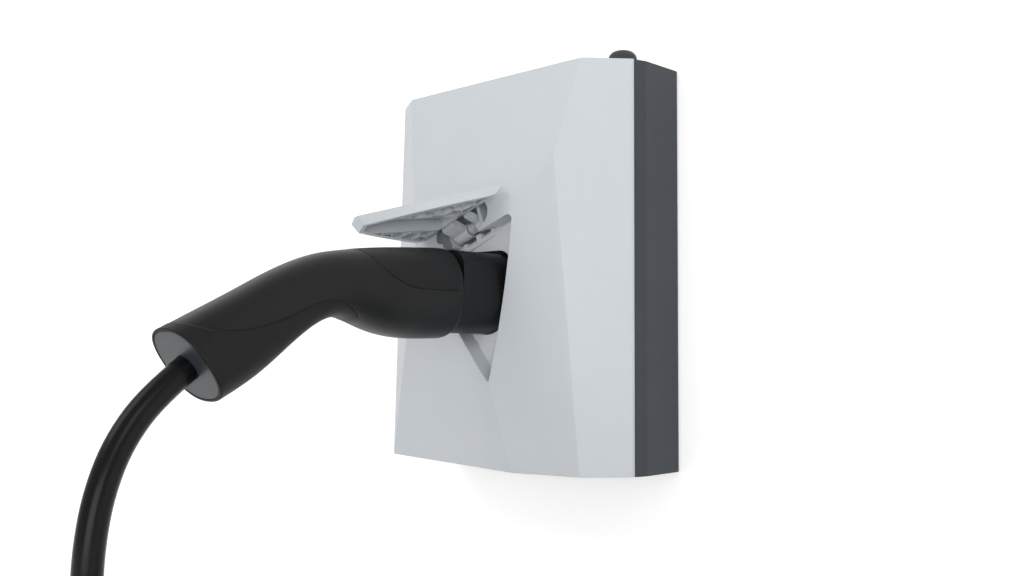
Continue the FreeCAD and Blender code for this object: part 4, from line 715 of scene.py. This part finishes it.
# %% Finish of the handle
handle_finish = plain("handle black", PLUG_TONE, 0.40, {"Specular IOR Level": 0.2})
inset_by = add(handle_finish, "Attribute", attribute_name="panel_depth").outputs["Fac"]
at_seam = {"Value": inset_by, "From Min": -0.3, "From Max": 0.3}
in_panel = add(handle_finish, "MapRange", at_seam).outputs["Result"]
from_seam = add(handle_finish, "Math", {0: inset_by}, operation="ABSOLUTE").outputs["Value"]
groove = add(handle_finish, "MapRange", {"Value": from_seam, "From Min": 0.25, "From Max": 0.75},
             interpolation_type="SMOOTHSTEP").outputs["Result"]
erosion = spots(handle_finish, 0.0006, 3.0)
leather = cells(handle_finish, 0.0011)
grain = add(handle_finish, "Mix", {"Factor": in_panel, "A": erosion, "B": leather}).outputs["Result"]
broad = spots(handle_finish, 0.04, 3.0)
cloud = patches(handle_finish, broad, (0.0052, 0.0057, 0.0064), (0.0068, 0.0073, 0.0081))
panel_tone, groove_tone = (0.0054, 0.0058, 0.0065, 1), (0.001, 0.001, 0.001, 1)
toned = add(handle_finish, "MixRGB", {"Fac": in_panel, "Color1": cloud, "Color2": panel_tone})
toned = toned.outputs["Color"]
grooved = add(handle_finish, "MixRGB", {"Fac": groove, "Color1": groove_tone, "Color2": toned})
feed(handle_finish, "Base Color", grooved.outputs["Color"])
gloss = add(handle_finish, "MapRange", {"Value": in_panel, "To Min": 0.40, "To Max": 0.50})
feed(handle_finish, "Roughness", gloss.outputs["Result"])
edge = relief(handle_finish, groove, 0.0004)
relief(handle_finish, grain, 0.00003, under=edge)
wear(handle, handle_finish)
print("handle finished")

# %% [markdown]

# %% [markdown]
# The room is a white wall with a white floor.

# %% Wall and floor
WALL_HALF = 6.0
BACKDROP_GLOW = 0.42


def flat_sheet(name, corners):
    """A flat four-cornered face through the given corners."""
    data = bpy.data.meshes.new(name)
    data.from_pydata(corners, [], [(0, 1, 2, 3)])
    sheet = bpy.data.objects.new(name, data)
    bpy.context.scene.collection.objects.link(sheet)
    return sheet


ground = FLOOR * MM
foot_line = [(-WALL_HALF, 0, ground), (WALL_HALF, 0, ground)]
wall = flat_sheet("wall", foot_line + [(WALL_HALF, 0, WALL_HALF), (-WALL_HALF, 0, WALL_HALF)])
near_line = [(-WALL_HALF, -WALL_HALF, ground), (WALL_HALF, -WALL_HALF, ground)]
floor = flat_sheet("floor", near_line + foot_line[::-1])
print("floor at", ground)


def backdrop(name, glow):
    """White that keeps the object's shadow, lifted for the eye and for reflections to a clean white."""
    made = plain(name, (0.86, 0.86, 0.86), 0.9, {"Emission Color": (1, 1, 1, 1)})
    rays = add(made, "LightPath").outputs
    eye, gloss, through = (rays[f"Is {kind} Ray"] for kind in ("Camera", "Glossy", "Transmission"))
    seen = add(made, "Math", {0: eye, 1: gloss}, operation="MAXIMUM").outputs["Value"]
    seen = add(made, "Math", {0: seen, 1: through}, operation="MAXIMUM").outputs["Value"]
    lift = add(made, "Math", {0: seen, 1: glow}, operation="MULTIPLY").outputs["Value"]
    feed(made, "Emission Strength", lift)
    return made


for sheet in (wall, floor):
    wear(sheet, backdrop(sheet.name + " white", BACKDROP_GLOW))

# %% [markdown]
# Three soft lamps light the box: one high on the left, one low on the right
# and a weak one high on the right. The white world adds an even light from all
# sides, so the shadow on the wall stays faint.

# %% Lights
def soft_lamp(name, place, target, size, watts):
    """A square area lamp at a place, turned to a target."""
    data = bpy.data.lights.new(name, "AREA")
    data.shape = "RECTANGLE"
    data.size, data.size_y = size
    data.energy = watts
    lamp = bpy.data.objects.new(name, data)
    lamp.location = place
    lamp.rotation_euler = (Vector(target) - Vector(place)).to_track_quat("-Z", "Y").to_euler()
    bpy.context.scene.collection.objects.link(lamp)
    return lamp


soft_lamp("key", (-0.9, -1.7, 1.5), (0, -0.1, 0), (1.2, 1.2), 9)
soft_lamp("fill_low", (1.2, -1.6, -0.2), (0, -0.1, -0.05), (1.2, 1.0), 12)
soft_lamp("fill_high", (1.5, -1.1, 0.9), (0, -0.1, 0), (0.8, 0.8), 4)
WORLD_LIGHT = 0.64
world = bpy.data.worlds.new("studio")
bpy.context.scene.world = world
world.use_nodes = True
world.node_tree.nodes["Background"].inputs["Color"].default_value = (1, 1, 1, 1)
world.node_tree.nodes["Background"].inputs["Strength"].default_value = WORLD_LIGHT
bpy.context.scene.view_settings.view_transform = "Standard"
print("world light", WORLD_LIGHT)
